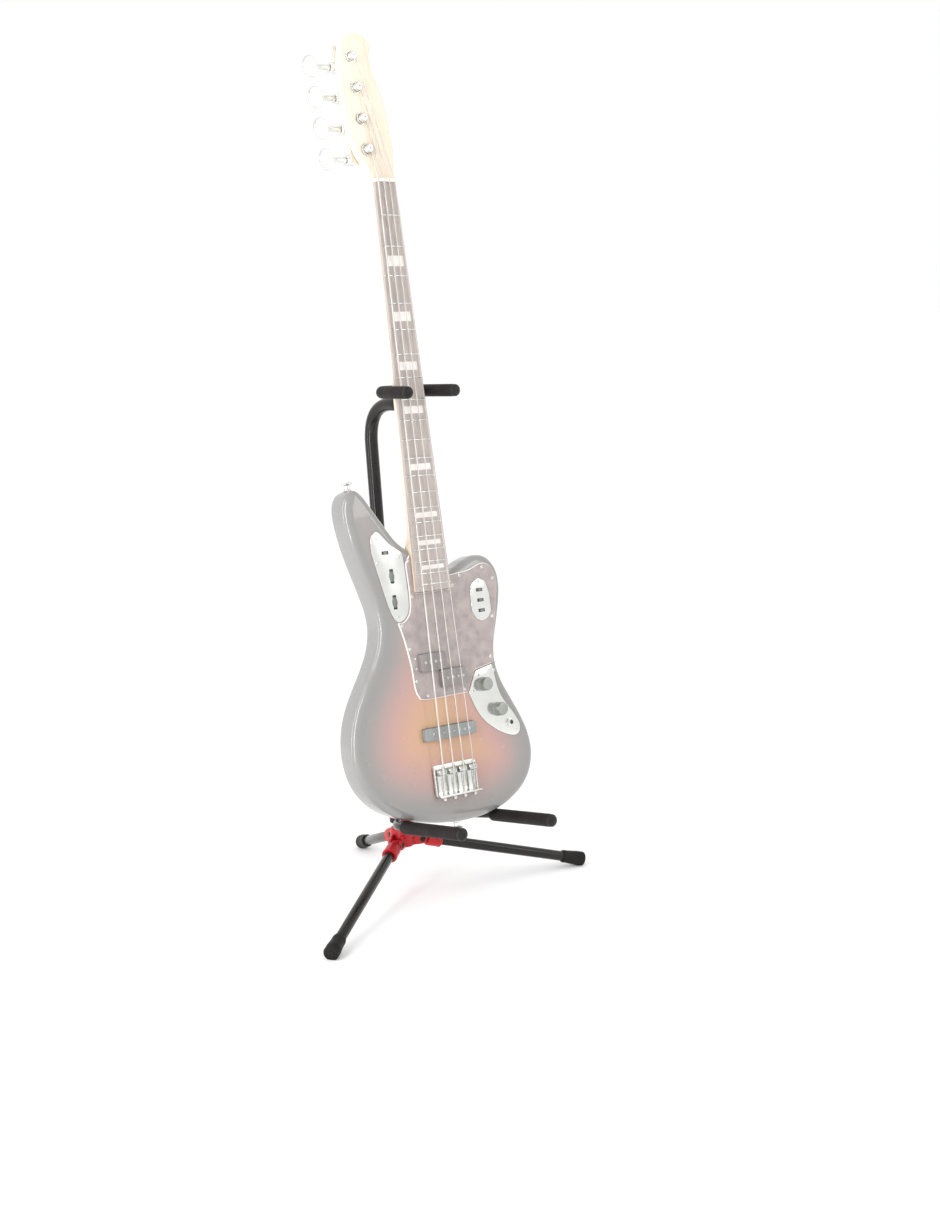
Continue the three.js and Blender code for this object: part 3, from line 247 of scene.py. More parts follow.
# ---------- finishes
@dataclass(frozen=True)
class Finish:
    """A material whose colour wanders between tones and whose surface has fine relief."""

    name: str
    tones: tuple[tuple[float, str], ...]
    roughness: float
    metallic: float = 0.0
    ior: float = 1.5
    coat: float = 0.0
    coat_roughness: float = 0.05
    pattern_mm: float = 20.0
    stretch: tuple[float, float, float] = (1.0, 1.0, 1.0)
    detail: float = 4.0
    turn_x: float = 0.0
    relief_mm: float = 0.6
    relief: float = 0.05
    relief_detail: float = 2.0
    roughness_wander: float = 0.04

    def placed(self, tree: Tree, stretch: tuple[float, float, float] = (1.0, 1.0, 1.0)) -> Socket:
        """Gives object coordinates turned with the piece and stretched along its grain."""
        place = add_node(tree, "ShaderNodeTexCoord")
        turned = add_node(tree, "ShaderNodeMapping", {0: place.outputs["Object"]}, vector_type="POINT")
        turned.inputs["Rotation"].default_value = (self.turn_x, 0.0, 0.0)
        scaled = add_node(tree, "ShaderNodeMapping", {0: turned.outputs[0]}, vector_type="POINT")
        scaled.inputs["Scale"].default_value = stretch
        return scaled.outputs[0]

    def colour(self, tree: Tree) -> Socket:
        """Draws the colour: a soft noise through the tones."""
        noise = add_node(tree, "ShaderNodeTexNoise", {
            "Vector": self.placed(tree, self.stretch), "Scale": 1.0 / (self.pattern_mm * MM),
            "Detail": self.detail, "Roughness": 0.55})
        ramp = add_node(tree, "ShaderNodeValToRGB", {0: noise.outputs[0]})
        set_ramp(ramp, list(self.tones))
        return ramp.outputs[0]

    def height(self, tree: Tree) -> Socket:
        """Draws the relief: fine noise at the size of the surface's texture."""
        grain = add_node(tree, "ShaderNodeTexNoise", {
            "Vector": self.placed(tree, self.stretch), "Scale": 1.0 / (self.relief_mm * MM),
            "Detail": self.relief_detail})
        return grain.outputs[0]

    def build(self) -> bpy.types.Material:
        """Builds the material, or finds the one already built."""
        known = bpy.data.materials.get(self.name)
        if known:
            return known
        material = bpy.data.materials.new(self.name)
        material.use_nodes = True
        tree = material.node_tree
        tree.nodes.clear()
        wander = add_node(tree, "ShaderNodeTexNoise", {
            "Vector": self.placed(tree), "Scale": 1.0 / (35.0 * MM), "Detail": 3.0})
        rough = add_node(tree, "ShaderNodeMapRange", {
            0: wander.outputs[0], 1: 0.3, 2: 0.7,
            3: max(0.02, self.roughness - self.roughness_wander), 4: self.roughness + self.roughness_wander})
        bump = add_node(tree, "ShaderNodeBump", {
            "Strength": self.relief, "Distance": 0.4 * MM, "Height": self.height(tree)})
        shader = add_node(tree, "ShaderNodeBsdfPrincipled", {
            "Base Color": self.colour(tree), "Roughness": rough.outputs[0], "Normal": bump.outputs[0],
            "Metallic": self.metallic, "IOR": self.ior, "Coat Weight": self.coat,
            "Coat Roughness": self.coat_roughness})
        add_node(tree, "ShaderNodeOutputMaterial", {0: shader.outputs[0]})
        return material


@dataclass(frozen=True)
class BurstFinish(Finish):
    """A lacquered sunburst: the tone follows the distance from the body's edge."""

    reach_mm: float = 150.0

    def colour(self, tree: Tree) -> Socket:
        """Draws the burst from the stored edge distance, with the ash grain faintly through it."""
        edge = add_node(tree, "ShaderNodeAttribute", attribute_name="edge_mm")
        grain = add_node(tree, "ShaderNodeTexNoise", {
            "Vector": self.placed(tree, (1.0, 0.06, 1.0)), "Scale": 1.0 / (5.0 * MM), "Detail": 6.0,
            "Roughness": 0.62})
        cloud = add_node(tree, "ShaderNodeTexNoise", {
            "Vector": self.placed(tree), "Scale": 1.0 / (80.0 * MM), "Detail": 2.0})
        shifted = add_node(tree, "ShaderNodeMath", {0: grain.outputs[0], 1: 9.0}, operation="MULTIPLY_ADD")
        tree.links.new(edge.outputs["Fac"], shifted.inputs[2])
        blotted = add_node(tree, "ShaderNodeMath", {0: cloud.outputs[0], 1: 10.0}, operation="MULTIPLY_ADD")
        tree.links.new(shifted.outputs[0], blotted.inputs[2])
        share = add_node(tree, "ShaderNodeMapRange", {0: blotted.outputs[0], 1: 9.5, 2: 9.5 + self.reach_mm})
        ramp = add_node(tree, "ShaderNodeValToRGB", {0: share.outputs[0]})
        ramp.color_ramp.interpolation = "B_SPLINE"
        set_ramp(ramp, list(self.tones))
        return ramp.outputs[0]


@dataclass(frozen=True)
class ShellFinish(Finish):
    """Celluloid tortoiseshell: cloudy flakes in a clear sheet."""

    def colour(self, tree: Tree) -> Socket:
        """Draws the flakes: cells bent by noise, mixed with a finer noise."""
        place = self.placed(tree, self.stretch)
        bend = add_node(tree, "ShaderNodeTexNoise", {
            "Vector": place, "Scale": 1.0 / (14.0 * MM), "Detail": 3.0})
        carried = add_node(tree, "ShaderNodeVectorMath", {
            0: bend.outputs["Color"], 1: (0.012, 0.012, 0.012), 2: place}, operation="MULTIPLY_ADD")
        cells = add_node(tree, "ShaderNodeTexVoronoi", {
            "Vector": carried.outputs[0], "Scale": 1.0 / (self.pattern_mm * MM), "Smoothness": 1.0},
            feature="SMOOTH_F1")
        fine = add_node(tree, "ShaderNodeTexNoise", {
            "Vector": carried.outputs[0], "Scale": 1.0 / (4.0 * MM), "Detail": 4.0})
        mixed = add_node(tree, "ShaderNodeMath", {0: fine.outputs[0], 1: 0.55}, operation="MULTIPLY_ADD")
        tree.links.new(cells.outputs["Distance"], mixed.inputs[2])
        ramp = add_node(tree, "ShaderNodeValToRGB", {0: mixed.outputs[0]})
        set_ramp(ramp, list(self.tones))
        return ramp.outputs[0]


@dataclass(frozen=True)
class WoundFinish(Finish):
    """A wound string: bright wire wrapped round a core, drawn coarser than it is so that it shows."""

    pitch_mm: float = 1.1

    def height(self, tree: Tree) -> Socket:
        """Draws the wraps as bands across the string's run."""
        bands = add_node(tree, "ShaderNodeTexWave", {
            "Vector": self.placed(tree), "Scale": 1.0 / (self.pitch_mm * MM) / 3.14},
            wave_type="BANDS", bands_direction="Y", wave_profile="SIN")
        return bands.outputs["Fac"]


GUITAR_LEAN = 11.1
GRAIN_TURN = -(math.pi / 2 - math.radians(GUITAR_LEAN))


class Look(Enum):
    """Every finish on the object, named for what the real surface is, save the painted shade in the jack's hole."""

    # Powder coat on steel tube: near black, smooth gloss with the slight orange peel of the powder.
    POWDER_COAT = Finish("powder_coated_steel", ((0.3, "151312"), (0.7, "1c1918")), 0.26, ior=1.25,
                         coat=0.45, coat_roughness=0.06, relief_mm=2.2, relief=0.04)
    # Closed-cell foam tubing: soft sheen and fine cells.
    FOAM = Finish("closed_cell_foam", ((0.3, "201d1c"), (0.7, "2a2625")), 0.5, ior=1.22, relief_mm=0.9,
                  relief=0.25, relief_detail=4.0)
    # Moulded rubber: matt and slightly dusty.
    RUBBER = Finish("moulded_rubber", ((0.3, "1e1b1a"), (0.75, "292524")), 0.5, ior=1.25, relief_mm=0.7,
                    relief=0.15)
    # Injection-moulded nylon: saturated red with a satin skin.
    RED_NYLON = Finish("red_nylon", ((0.3, "ab141c"), (0.7, "bf2028")), 0.34, ior=1.36, relief_mm=0.8,
                       relief=0.08, coat=0.1, coat_roughness=0.2)
    # Lacquered sunburst on ash: smoky edge, rosy middle band, honey centre, deep gloss.
    BURST = BurstFinish("sunburst_lacquer", (
        (0.0, "8b8a88"), (0.17, "93908e"), (0.30, "aa938e"), (0.46, "be958e"), (0.66, "c89d82"),
        (1.0, "cda67b")),
        0.24, coat=1.0, coat_roughness=0.03, turn_x=GRAIN_TURN, relief_mm=3.0, relief=0.01)
    # Clear-coated maple: pale cream with fine straight grain.
    MAPLE = Finish("lacquered_maple", ((0.32, "eed9bf"), (0.5, "f3e2cd"), (0.7, "f6e8d6")), 0.3, coat=0.5,
                   coat_roughness=0.1, pattern_mm=3.2, stretch=(1.0, 0.05, 1.0), detail=6.0,
                   turn_x=GRAIN_TURN, relief_mm=1.2, relief=0.03)
    # Oiled rosewood: short dark pores along the board.
    ROSEWOOD = Finish("oiled_rosewood", ((0.3, "a89d97"), (0.48, "b8ada7"), (0.7, "c8beb8")), 0.46,
                      pattern_mm=1.6, stretch=(1.0, 0.06, 1.0), detail=7.0, turn_x=GRAIN_TURN,
                      relief_mm=0.8, relief=0.12, relief_detail=4.0)
    # Pearl blocks: milky with a soft glow.
    PEARL = Finish("pearl_inlay", ((0.3, "e9e2dc"), (0.6, "f2ede8"), (0.8, "faf6f2")), 0.22, coat=0.6,
                   pattern_mm=9.0, turn_x=GRAIN_TURN, relief=0.02)
    # Tortoiseshell celluloid over white plies.
    SHELL = ShellFinish("tortoiseshell_celluloid", (
        (0.34, "9a8e8d"), (0.55, "a09593"), (0.74, "a69b98"), (0.95, "b0a39e")), 0.2, coat=0.8,
        coat_roughness=0.05, pattern_mm=13.0, turn_x=GRAIN_TURN, relief=0.01)
    WHITE_PLY = Finish("white_ply_edge", ((0.3, "ece4df"), (0.7, "f4eeea")), 0.35, turn_x=GRAIN_TURN)
    # Polished chrome plate: bright and faintly warm.
    CHROME = Finish("chrome_plate", ((0.3, "e0e1dd"), (0.7, "e9eae6")), 0.18, metallic=1.0, relief_mm=4.0,
                    relief=0.008, roughness_wander=0.05)
    # Machined aluminium knob.
    KNOB_METAL = Finish("machined_knob", ((0.3, "9fa19d"), (0.7, "adafab")), 0.4, metallic=1.0,
                        relief_mm=0.7, relief=0.06)
    # Pickup covers: moulded plastic with a fine matt skin.
    COVER = Finish("pickup_cover_plastic", ((0.3, "8b8f8e"), (0.7, "969a99")), 0.42, relief_mm=0.5,
                   relief=0.08)
    SMOKED_COVER = Finish("smoked_cover_plastic", ((0.3, "8d8786"), (0.7, "979190")), 0.4, relief_mm=0.5,
                          relief=0.08)
    # Switch tabs and thumb wheels: grey moulded plastic.
    GREY_TAB = Finish("grey_moulding", ((0.3, "777b77"), (0.7, "848884")), 0.4, relief_mm=0.5, relief=0.1)
    POLE_STEEL = Finish("pole_piece_steel", ((0.3, "c4c6c2"), (0.7, "d4d5d1")), 0.25, metallic=1.0)
    WOUND = WoundFinish("round_wound_steel", ((0.3, "d3d0cb"), (0.7, "e2dfda")), 0.3, metallic=1.0,
                        turn_x=GRAIN_TURN, relief=0.5)
    SPRING_STEEL = Finish("bright_steel", ((0.3, "cfcfcb"), (0.7, "dcdcd8")), 0.22, metallic=1.0)
    BONE = Finish("polished_bone", ((0.3, "ece6db"), (0.7, "f4efe6")), 0.35, coat=0.2, pattern_mm=4.0)
    # Painted shade: a grey disc at the floor of the jack's shallow hole stands for the shade deep inside the socket.
    PAINTED_HOLE_SHADE = Finish("painted_jack_hole_shade", ((0.3, "6d6966"), (0.7, "7a7572")), 0.7)
    DARK_TAB = Finish("black_moulding", ((0.3, "1d1a19"), (0.7, "292524")), 0.36, ior=1.32, relief_mm=0.6,
                      relief=0.1)

    def material(self) -> bpy.types.Material:
        """Gives this finish's material."""
        return self.value.build()


# ---------- mesh making
@dataclass
class Shape:
    """Points in local millimetres and the faces between them; finish is a number for each face."""

    points: list[tuple[float, float, float]] = field(default_factory=list)
    faces: list[tuple[int, ...]] = field(default_factory=list)
    finish: list[int] = field(default_factory=list)

    def add(self, points: list, faces: list, finish: int = 0) -> "Shape":
        """Adds loose geometry to the shape and gives the shape back."""
        start = len(self.points)
        self.points.extend(tuple(float(c) for c in p) for p in points)
        self.faces.extend(tuple(i + start for i in face) for face in faces)
        self.finish.extend([finish] * len(faces))
        return self

    def join(self, *others: "Shape") -> "Shape":
        """Adds other shapes, keeping their finish numbers."""
        for other in others:
            start = len(self.points)
            self.points.extend(other.points)
            self.faces.extend(tuple(i + start for i in face) for face in other.faces)
            self.finish.extend(other.finish)
        return self

    def moved(self, matrix: Matrix) -> "Shape":
        """Gives a copy of the shape put through a matrix."""
        points = [tuple(matrix @ Vector(p)) for p in self.points]
        return Shape(points, list(self.faces), list(self.finish))

    def painted(self, finish: int) -> "Shape":
        """Gives every face the same finish number."""
        self.finish = [finish] * len(self.faces)
        return self


def at(x: float, y: float, z: float) -> Matrix:
    """Gives a move."""
    return Matrix.Translation((x, y, z))


def aimed(start: Vector, direction: Vector) -> Matrix:
    """Gives the matrix that puts Z along a direction and the origin at a start."""
    return at(*start) @ direction.to_track_quat("Z", "Y").to_matrix().to_4x4()


def skin(rings: list[list], capped: bool = True, finish: int = 0) -> Shape:
    """Joins closed rings of points with quads, one ring to the next.

    Args:
        rings: The rings, each with as many points.
        capped: Whether a face closes each end.
        finish: The finish number of the faces.

    Returns:
        The skin.
    """
    sides, faces = len(rings[0]), []
    for low in range(0, (len(rings) - 1) * sides, sides):
        for i in range(sides):
            j = (i + 1) % sides
            faces.append((low + i, low + j, low + sides + j, low + sides + i))
    if capped:
        last = (len(rings) - 1) * sides
        faces += [tuple(reversed(range(sides))), tuple(range(last, last + sides))]
    return Shape().add([p for ring in rings for p in ring], faces, finish)


def circle(radius: float, count: int) -> list[Point]:
    """Gives points spaced evenly round a circle."""
    return [(radius * math.cos(a), radius * math.sin(a))
            for a in (2 * math.pi * i / count for i in range(count))]


def lathe(profile: list[Point], sides: int = 48) -> Shape:
    """Spins a profile of radius and height round Z."""
    return skin([[(x, y, z) for x, y in circle(radius, sides)] for radius, z in profile], capped=False)


def soft_rod(radius: float, low: float, high: float, edge: float = 0.6, sides: int = 48) -> Shape:
    """Makes a rod along Z with rounded rims.

    Args:
        radius: The rod's radius.
        low: Where it begins.
        high: Where it ends.
        edge: The rims' radius.
        sides: Sides of the circle.

    Returns:
        The rod.
    """
    turns = [math.pi / 2 * k / 3 for k in range(4)]
    profile = [(radius - edge + edge * math.sin(a), low + edge - edge * math.cos(a)) for a in turns]
    profile += [(radius - edge + edge * math.cos(a), high - edge + edge * math.sin(a)) for a in turns]
    return lathe([(0.0, low)] + profile + [(0.0, high)], sides)


def sweep(path: list[Vector], radius: float | list[float], sides: int = 24) -> Shape:
    """Carries a circle along a path without twisting it, and closes the ends.

    Args:
        path: The middle line.
        radius: One radius, or one for each point.
        sides: Sides of the circle.

    Returns:
        The rod or tube.
    """
    radii = radius if isinstance(radius, list) else [radius] * len(path)
    last = len(path) - 1
    tangents = [(path[min(i + 1, last)] - path[max(i - 1, 0)]).normalized() for i in range(last + 1)]
    side = tangents[0].orthogonal().normalized()
    rings = []
    for i, centre in enumerate(path):
        if i:
            side = (tangents[i - 1].rotation_difference(tangents[i]) @ side).normalized()
        up = tangents[i].cross(side)
        turns = [2 * math.pi * k / sides for k in range(sides)]
        rings.append([centre + (side * math.cos(a) + up * math.sin(a)) * radii[i] for a in turns])
    return skin(rings)


def bend(start: Vector, corner: Vector, end: Vector, steps: int) -> list[Vector]:
    """Draws a smooth bend between two points, which would meet at a corner if they ran straight on.

    Args:
        start: Where the bend begins.
        corner: The corner that it rounds.
        end: Where it ends.
        steps: How many short runs it has.

    Returns:
        The bend's points, with both ends.
    """
    shares = [k / steps for k in range(steps + 1)]
    return [start * (1 - t) ** 2 + corner * (2 * t * (1 - t)) + end * t ** 2 for t in shares]


def rounded_path(corners: list[Vector], radius: float, steps: int = 12) -> list[Vector]:
    """Joins corners by straight runs, with every inner corner turned into a smooth bend.

    Args:
        corners: The path's ends and its corners.
        radius: How far from a corner its bend begins.
        steps: How many short runs a bend has.

    Returns:
        The path's points.
    """
    path = [corners[0]]
    for before, here, after in zip(corners, corners[1:], corners[2:]):
        start = here + (before - here).normalized() * radius
        end = here + (after - here).normalized() * radius
        path += bend(start, here, end, steps)
    return path + [corners[-1]]


def smooth_outline(through: list[Point], per_span: int = 8) -> list[Point]:
    """Draws a smooth closed curve through points, with centripetal spacing.

    Args:
        through: The points.
        per_span: Points from one given point to the next.

    Returns:
        The curve.
    """
    count, made = len(through), []
    for i in range(count):
        p = [Vector(through[(i + k - 1) % count]) for k in range(4)]
        t = [0.0]
        for a, b in zip(p, p[1:]):
            t.append(t[-1] + math.sqrt((b - a).length))
        for k in range(per_span):
            u = t[1] + (t[2] - t[1]) * k / per_span
            first = [p[j] * ((t[j + 1] - u) / (t[j + 1] - t[j]))
                     + p[j + 1] * ((u - t[j]) / (t[j + 1] - t[j])) for j in range(3)]
            second = [first[j] * ((t[j + 2] - u) / (t[j + 2] - t[j]))
                      + first[j + 1] * ((u - t[j]) / (t[j + 2] - t[j])) for j in range(2)]
            point = second[0] * ((t[2] - u) / (t[2] - t[1])) + second[1] * ((u - t[1]) / (t[2] - t[1]))
            made.append((point.x, point.y))
    return made


def corner_outline(corners: list[Point], radius: float, steps: int = 5) -> list[Point]:
    """Rounds every corner of a closed outline.

    Args:
        corners: The outline's corners.
        radius: How far from a corner its rounding begins, where the sides are long enough.
        steps: How many short runs a rounding has.

    Returns:
        The rounded outline.
    """
    made, count = [], len(corners)
    for i in range(count):
        here, before, after = (Vector(corners[(i + k) % count]) for k in (0, -1, 1))
        back, ahead = before - here, after - here
        reach = min(radius, back.length / 2.2, ahead.length / 2.2)
        start, end = here + back.normalized() * reach, here + ahead.normalized() * reach
        made += [(point.x, point.y) for point in bend(start, here, end, steps)]
    return made


def rectangle(x: float, y: float, half_x: float, half_y: float) -> list[Point]:
    """Gives a rectangle's corners round a centre."""
    return [(x - half_x, y - half_y), (x + half_x, y - half_y), (x + half_x, y + half_y),
            (x - half_x, y + half_y)]


def counter_clockwise(outline: list[Point]) -> list[Point]:
    """Gives the outline in counter-clockwise order."""
    area = sum(a[0] * b[1] - b[0] * a[1] for a, b in zip(outline, outline[1:] + outline[:1]))
    return outline if area > 0 else list(reversed(outline))


def inset(outline: list[Point], depth: float) -> list[Point]:
    """Moves a counter-clockwise outline inward by a depth.

    Args:
        outline: The outline.
        depth: How far it moves.

    Returns:
        The moved outline.
    """
    made, count = [], len(outline)
    for i in range(count):
        before, here, after = (Vector(outline[(i + k) % count]) for k in (-1, 0, 1))
        n1 = Vector((-(here - before).y, (here - before).x)).normalized()
        n2 = Vector((-(after - here).y, (after - here).x)).normalized()
        normal = n1 + n2
        normal = normal.normalized() if normal.length > 1e-6 else n1
        point = here + normal * (depth / max(0.5, normal.dot(n1)))
        made.append((point.x, point.y))
    return made


def inside(point: Point, outline: list[Point]) -> bool:
    """Tells whether a point is inside a closed outline.

    Args:
        point: The point.
        outline: The outline.

    Returns:
        True inside, False outside.
    """
    x, y = point
    crossed = False
    for (x0, y0), (x1, y1) in zip(outline, outline[1:] + outline[:1]):
        if (y0 > y) != (y1 > y) and x < x0 + (y - y0) / (y1 - y0) * (x1 - x0):
            crossed = not crossed
    return crossed


def fill_loops(loops: list[list[Point]], loose: list[Point] | None = None) -> tuple[list, list]:
    """Fills the space inside the first loop and outside the others with triangles.

    Args:
        loops: The outer edge, then the holes.
        loose: Further points that the triangles must meet.

    Returns:
        The points and the triangles, wound counter-clockwise.
    """
    points, edges = [], []
    for loop in loops:
        start = len(points)
        points += [Vector(p) for p in loop]
        edges += [(start + i, start + (i + 1) % len(loop)) for i in range(len(loop))]
    points += [Vector(p) for p in loose or []]
    made = delaunay_2d_cdt(points, edges, [], 1, 1e-5)
    spots = [tuple(p) for p in made[0]]
    kept = []
    for face in made[2]:
        middle = (sum(spots[i][0] for i in face) / 3, sum(spots[i][1] for i in face) / 3)
        if inside(middle, loops[0]) and not any(inside(middle, hole) for hole in loops[1:]):
            kept.append(tuple(face))
    return spots, kept


def plate(outline: list[Point], low: float, high: float, edge: float = 0.0, holes: list | None = None,
          steps: int = 3, edge_finish: int = 0, both: bool = False) -> Shape:
    """Makes a flat plate with a softened rim, and holes right through it.

    Args:
        outline: The plate's edge.
        low: The height of its underside.
        high: The height of its top.
        edge: The rim's radius.
        holes: Outlines of its holes.
        steps: Steps in the rim.
        edge_finish: The finish number of the sides and the rim.
        both: Whether the lower rim is softened too.

    Returns:
        The plate.
    """
    outer = counter_clockwise(outline)
    holes = [list(reversed(counter_clockwise(hole))) for hole in holes or []]
    rings = []
    for k in range(steps + 1 if both else 1):
        a = math.pi / 2 * k / steps if both else math.pi / 2
        turned = inset(outer, edge * (1 - math.sin(a))) if both else outer
        rings.append([(x, y, low + (edge * (1 - math.cos(a)) if both else 0.0)) for x, y in turned])
    for k in range(steps + 1 if edge else 1):
        a = math.pi / 2 * k / steps if edge else 0.0
        turned = inset(outer, edge * (1 - math.cos(a))) if edge else outer
        rings.append([(x, y, high - edge + edge * math.sin(a)) for x, y in turned])
    made = skin(rings, False, edge_finish)
    for hole in holes:
        made.join(skin([[(x, y, z) for x, y in hole] for z in (low, high)], False, edge_finish))
    top, base = ([(x, y) for x, y, _ in ring] for ring in (rings[-1], rings[0]))
    for level, loop, flip in ((high, top, False), (low, base, True)):
        points, faces = fill_loops([loop] + holes)
        faces = [tuple(reversed(f)) for f in faces] if flip else faces
        made.add([(x, y, level) for x, y in points], faces)
    return made


def soft_box(x0: float, x1: float, y0: float, y1: float, z0: float, z1: float, edge: float) -> Shape:
    """Makes a block whose edges and corners are all rounded.

    Args:
        x0, x1, y0, y1, z0, z1: Its faces.
        edge: The edges' radius.

    Returns:
        The block.
    """
    rows = []
    turns = [math.pi / 2 * k / 3 for k in range(4)]
    levels = [(edge * (1 - math.sin(a)), z0 + edge * (1 - math.cos(a))) for a in turns]
    levels += [(i, z0 + z1 - z) for i, z in reversed(levels)]
    cx, cy, hx, hy = (x0 + x1) / 2, (y0 + y1) / 2, (x1 - x0) / 2, (y1 - y0) / 2
    for drawn_in, z in levels:
        ring = corner_outline(rectangle(cx, cy, hx - drawn_in, hy - drawn_in), edge * 1.2, 4)
        rows.append([(x, y, z) for x, y in ring])
    return skin(rows)


def dome(radius: float, length: float, sides: int = 40) -> Shape:
    """Makes a domed plug along Z with a small moulded dimple at its tip.

    Args:
        radius: The plug's radius.
        length: Its height.
        sides: Sides of the circle.

    Returns:
        The plug.
    """
    profile = [(0.0, 0.0), (radius, 0.0), (radius, length * 0.35)]
    for k in range(1, 9):
        a = math.pi / 2 * k / 9
        profile.append((radius * math.cos(a), length * (0.35 + 0.65 * math.sin(a))))
    profile += [(1.6, length * 0.985), (1.2, length * 0.93), (0.0, length * 0.91)]
    return lathe(profile, sides)


# ---------- workshop
@dataclass
class Workshop:
    """Turns shapes into finished objects in the shared frame."""

    made: list[str] = field(default_factory=list)

    def raw(self, name: str, shape: Shape, placing: Matrix) -> Thing:
        """Makes an unfinished object with clean outward faces.

        Args:
            name: The object's name.
            shape: Its shape, in local millimetres.
            placing: Where it goes.

        Returns:
            The object.
        """
        mesh = bpy.data.meshes.new(name)
        bm = bmesh.new()
        corners = [bm.verts.new(placing @ Vector(p) * MM) for p in shape.points]
        for face, finish in zip(shape.faces, shape.finish):
            if len(set(face)) > 2:
                try:
                    bm.faces.new([corners[i] for i in face]).material_index = finish
                except ValueError:
                    continue
        bmesh.ops.remove_doubles(bm, verts=bm.verts, dist=2e-6)
        bmesh.ops.dissolve_degenerate(bm, edges=bm.edges, dist=1e-6)
        bmesh.ops.recalc_face_normals(bm, faces=bm.faces)
        bm.to_mesh(mesh)
        bm.free()
        return new_object(name, mesh)

    def finish(self, made: Thing, body: str, slot: str, looks: list[Look], *nodes: str,
               angle: float = 32.0) -> Thing:
        """Dresses an object and ties it to its body.

        Args:
            made: The object, in place.
            body: The body that it moves with.
            slot: The record's material slot.
            looks: The finishes, by finish number.
            *nodes: The nodes of the frame that it stands for.
            angle: Edges sharper than this many degrees stay sharp.

        Returns:
            The object.
        """
        for look in looks:
            made.data.materials.append(look.material())
        for polygon in made.data.polygons:
            polygon.use_smooth = True
        made.data.set_sharp_from_angle(angle=math.radians(angle))
        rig.ride(made, body)
        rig.slot(made, slot)
        if nodes:
            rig.replaces(made, *nodes)
        self.made.append(made.name)
        LOG.info("made %s: %d faces on %s", made.name, len(made.data.polygons), body)
        return made

    def make(self, name: str, shape: Shape, placing: Matrix, body: str, slot: str, looks: list[Look],
             *nodes: str, angle: float = 32.0) -> Thing:
        """Makes and finishes an object in one go; the arguments are those of raw and finish."""
        return self.finish(self.raw(name, shape, placing), body, slot, looks, *nodes, angle=angle)

    def grow(self, name: str, places: list[Vector], tree: Tree, inputs: dict, placing: Matrix,
             body: str, slot: str, look: Look, angle: float = 32.0) -> Thing:
        """Makes an object by running a Geometry Nodes tree over points.

        Args:
            name: The object's name.
            places: The points that the tree reads, in local millimetres.
            tree: The tree, whose result is in local millimetres.
            inputs: The tree's inputs by name.
            placing: Where the result goes.
            body: The body that it moves with.
            slot: The record's material slot.
            look: Its finish.
            angle: Edges sharper than this stay sharp.

        Returns:
            The object.
        """
        seed_mesh = bpy.data.meshes.new(f"{name}_places")
        seed_mesh.from_pydata([tuple(p) for p in places], [], [])
        seed = new_object(f"{name}_places", seed_mesh)
        modifier = seed.modifiers.new("repeat", "NODES")
        modifier.node_group = tree
        for item in tree.interface.items_tree:
            if getattr(item, "in_out", "") == "INPUT" and item.name in inputs:
                modifier[item.identifier] = inputs[item.name]
        seed.update_tag()
        evaluated = seed.evaluated_get(bpy.context.evaluated_depsgraph_get())
        mesh = bpy.data.meshes.new_from_object(evaluated)
        mesh.transform(Matrix.Scale(MM, 4) @ placing)
        mesh.materials.clear()
        bpy.data.objects.remove(seed)
        return self.finish(new_object(name, mesh), body, slot, [look], angle=angle)


# ---------- Geometry Nodes
@dataclass
class TreeMaker:
    """Starts a Geometry Nodes tree with named sizes, and closes it."""

    name: str
    sizes: dict[str, float]

    def __post_init__(self) -> None:
        """Makes the tree, its sockets and its input node."""
        self.tree = bpy.data.node_groups.new(self.name, "GeometryNodeTree")
        face = self.tree.interface
        face.new_socket("Places", in_out="INPUT", socket_type="NodeSocketGeometry")
        for label, value in self.sizes.items():
            whole = isinstance(value, int)
            kind = "NodeSocketInt" if whole else "NodeSocketFloat"
            face.new_socket(label, in_out="INPUT", socket_type=kind).default_value = value
        face.new_socket("Result", in_out="OUTPUT", socket_type="NodeSocketGeometry")
        self.given = add_node(self.tree, "NodeGroupInput")

    def size(self, label: str) -> Socket:
        """Gives the socket of a named size."""
        return self.given.outputs[label]

    def out(self, kind: str, links: dict, **settings) -> Socket:
        """Adds a node to the tree and gives its first output; the arguments are those of add_node."""
        return add_node(self.tree, kind, links, **settings).outputs[0]

    def copies(self, places: Socket, piece: Socket) -> Socket:
        """Puts a copy of a piece on every point of a mesh."""
        points = self.out("GeometryNodeMeshToPoints", {0: places})
        return self.out("GeometryNodeInstanceOnPoints", {"Points": points, "Instance": piece})

    def close(self, instances: Socket, look: Look) -> Tree:
        """Makes the copies real, dresses them and ends the tree."""
        real = add_node(self.tree, "GeometryNodeRealizeInstances", {0: instances})
        dressed = add_node(self.tree, "GeometryNodeSetMaterial", {0: real.outputs[0]})
        dressed.inputs["Material"].default_value = look.material()
        add_node(self.tree, "NodeGroupOutput", {0: dressed.outputs[0]})
        return self.tree


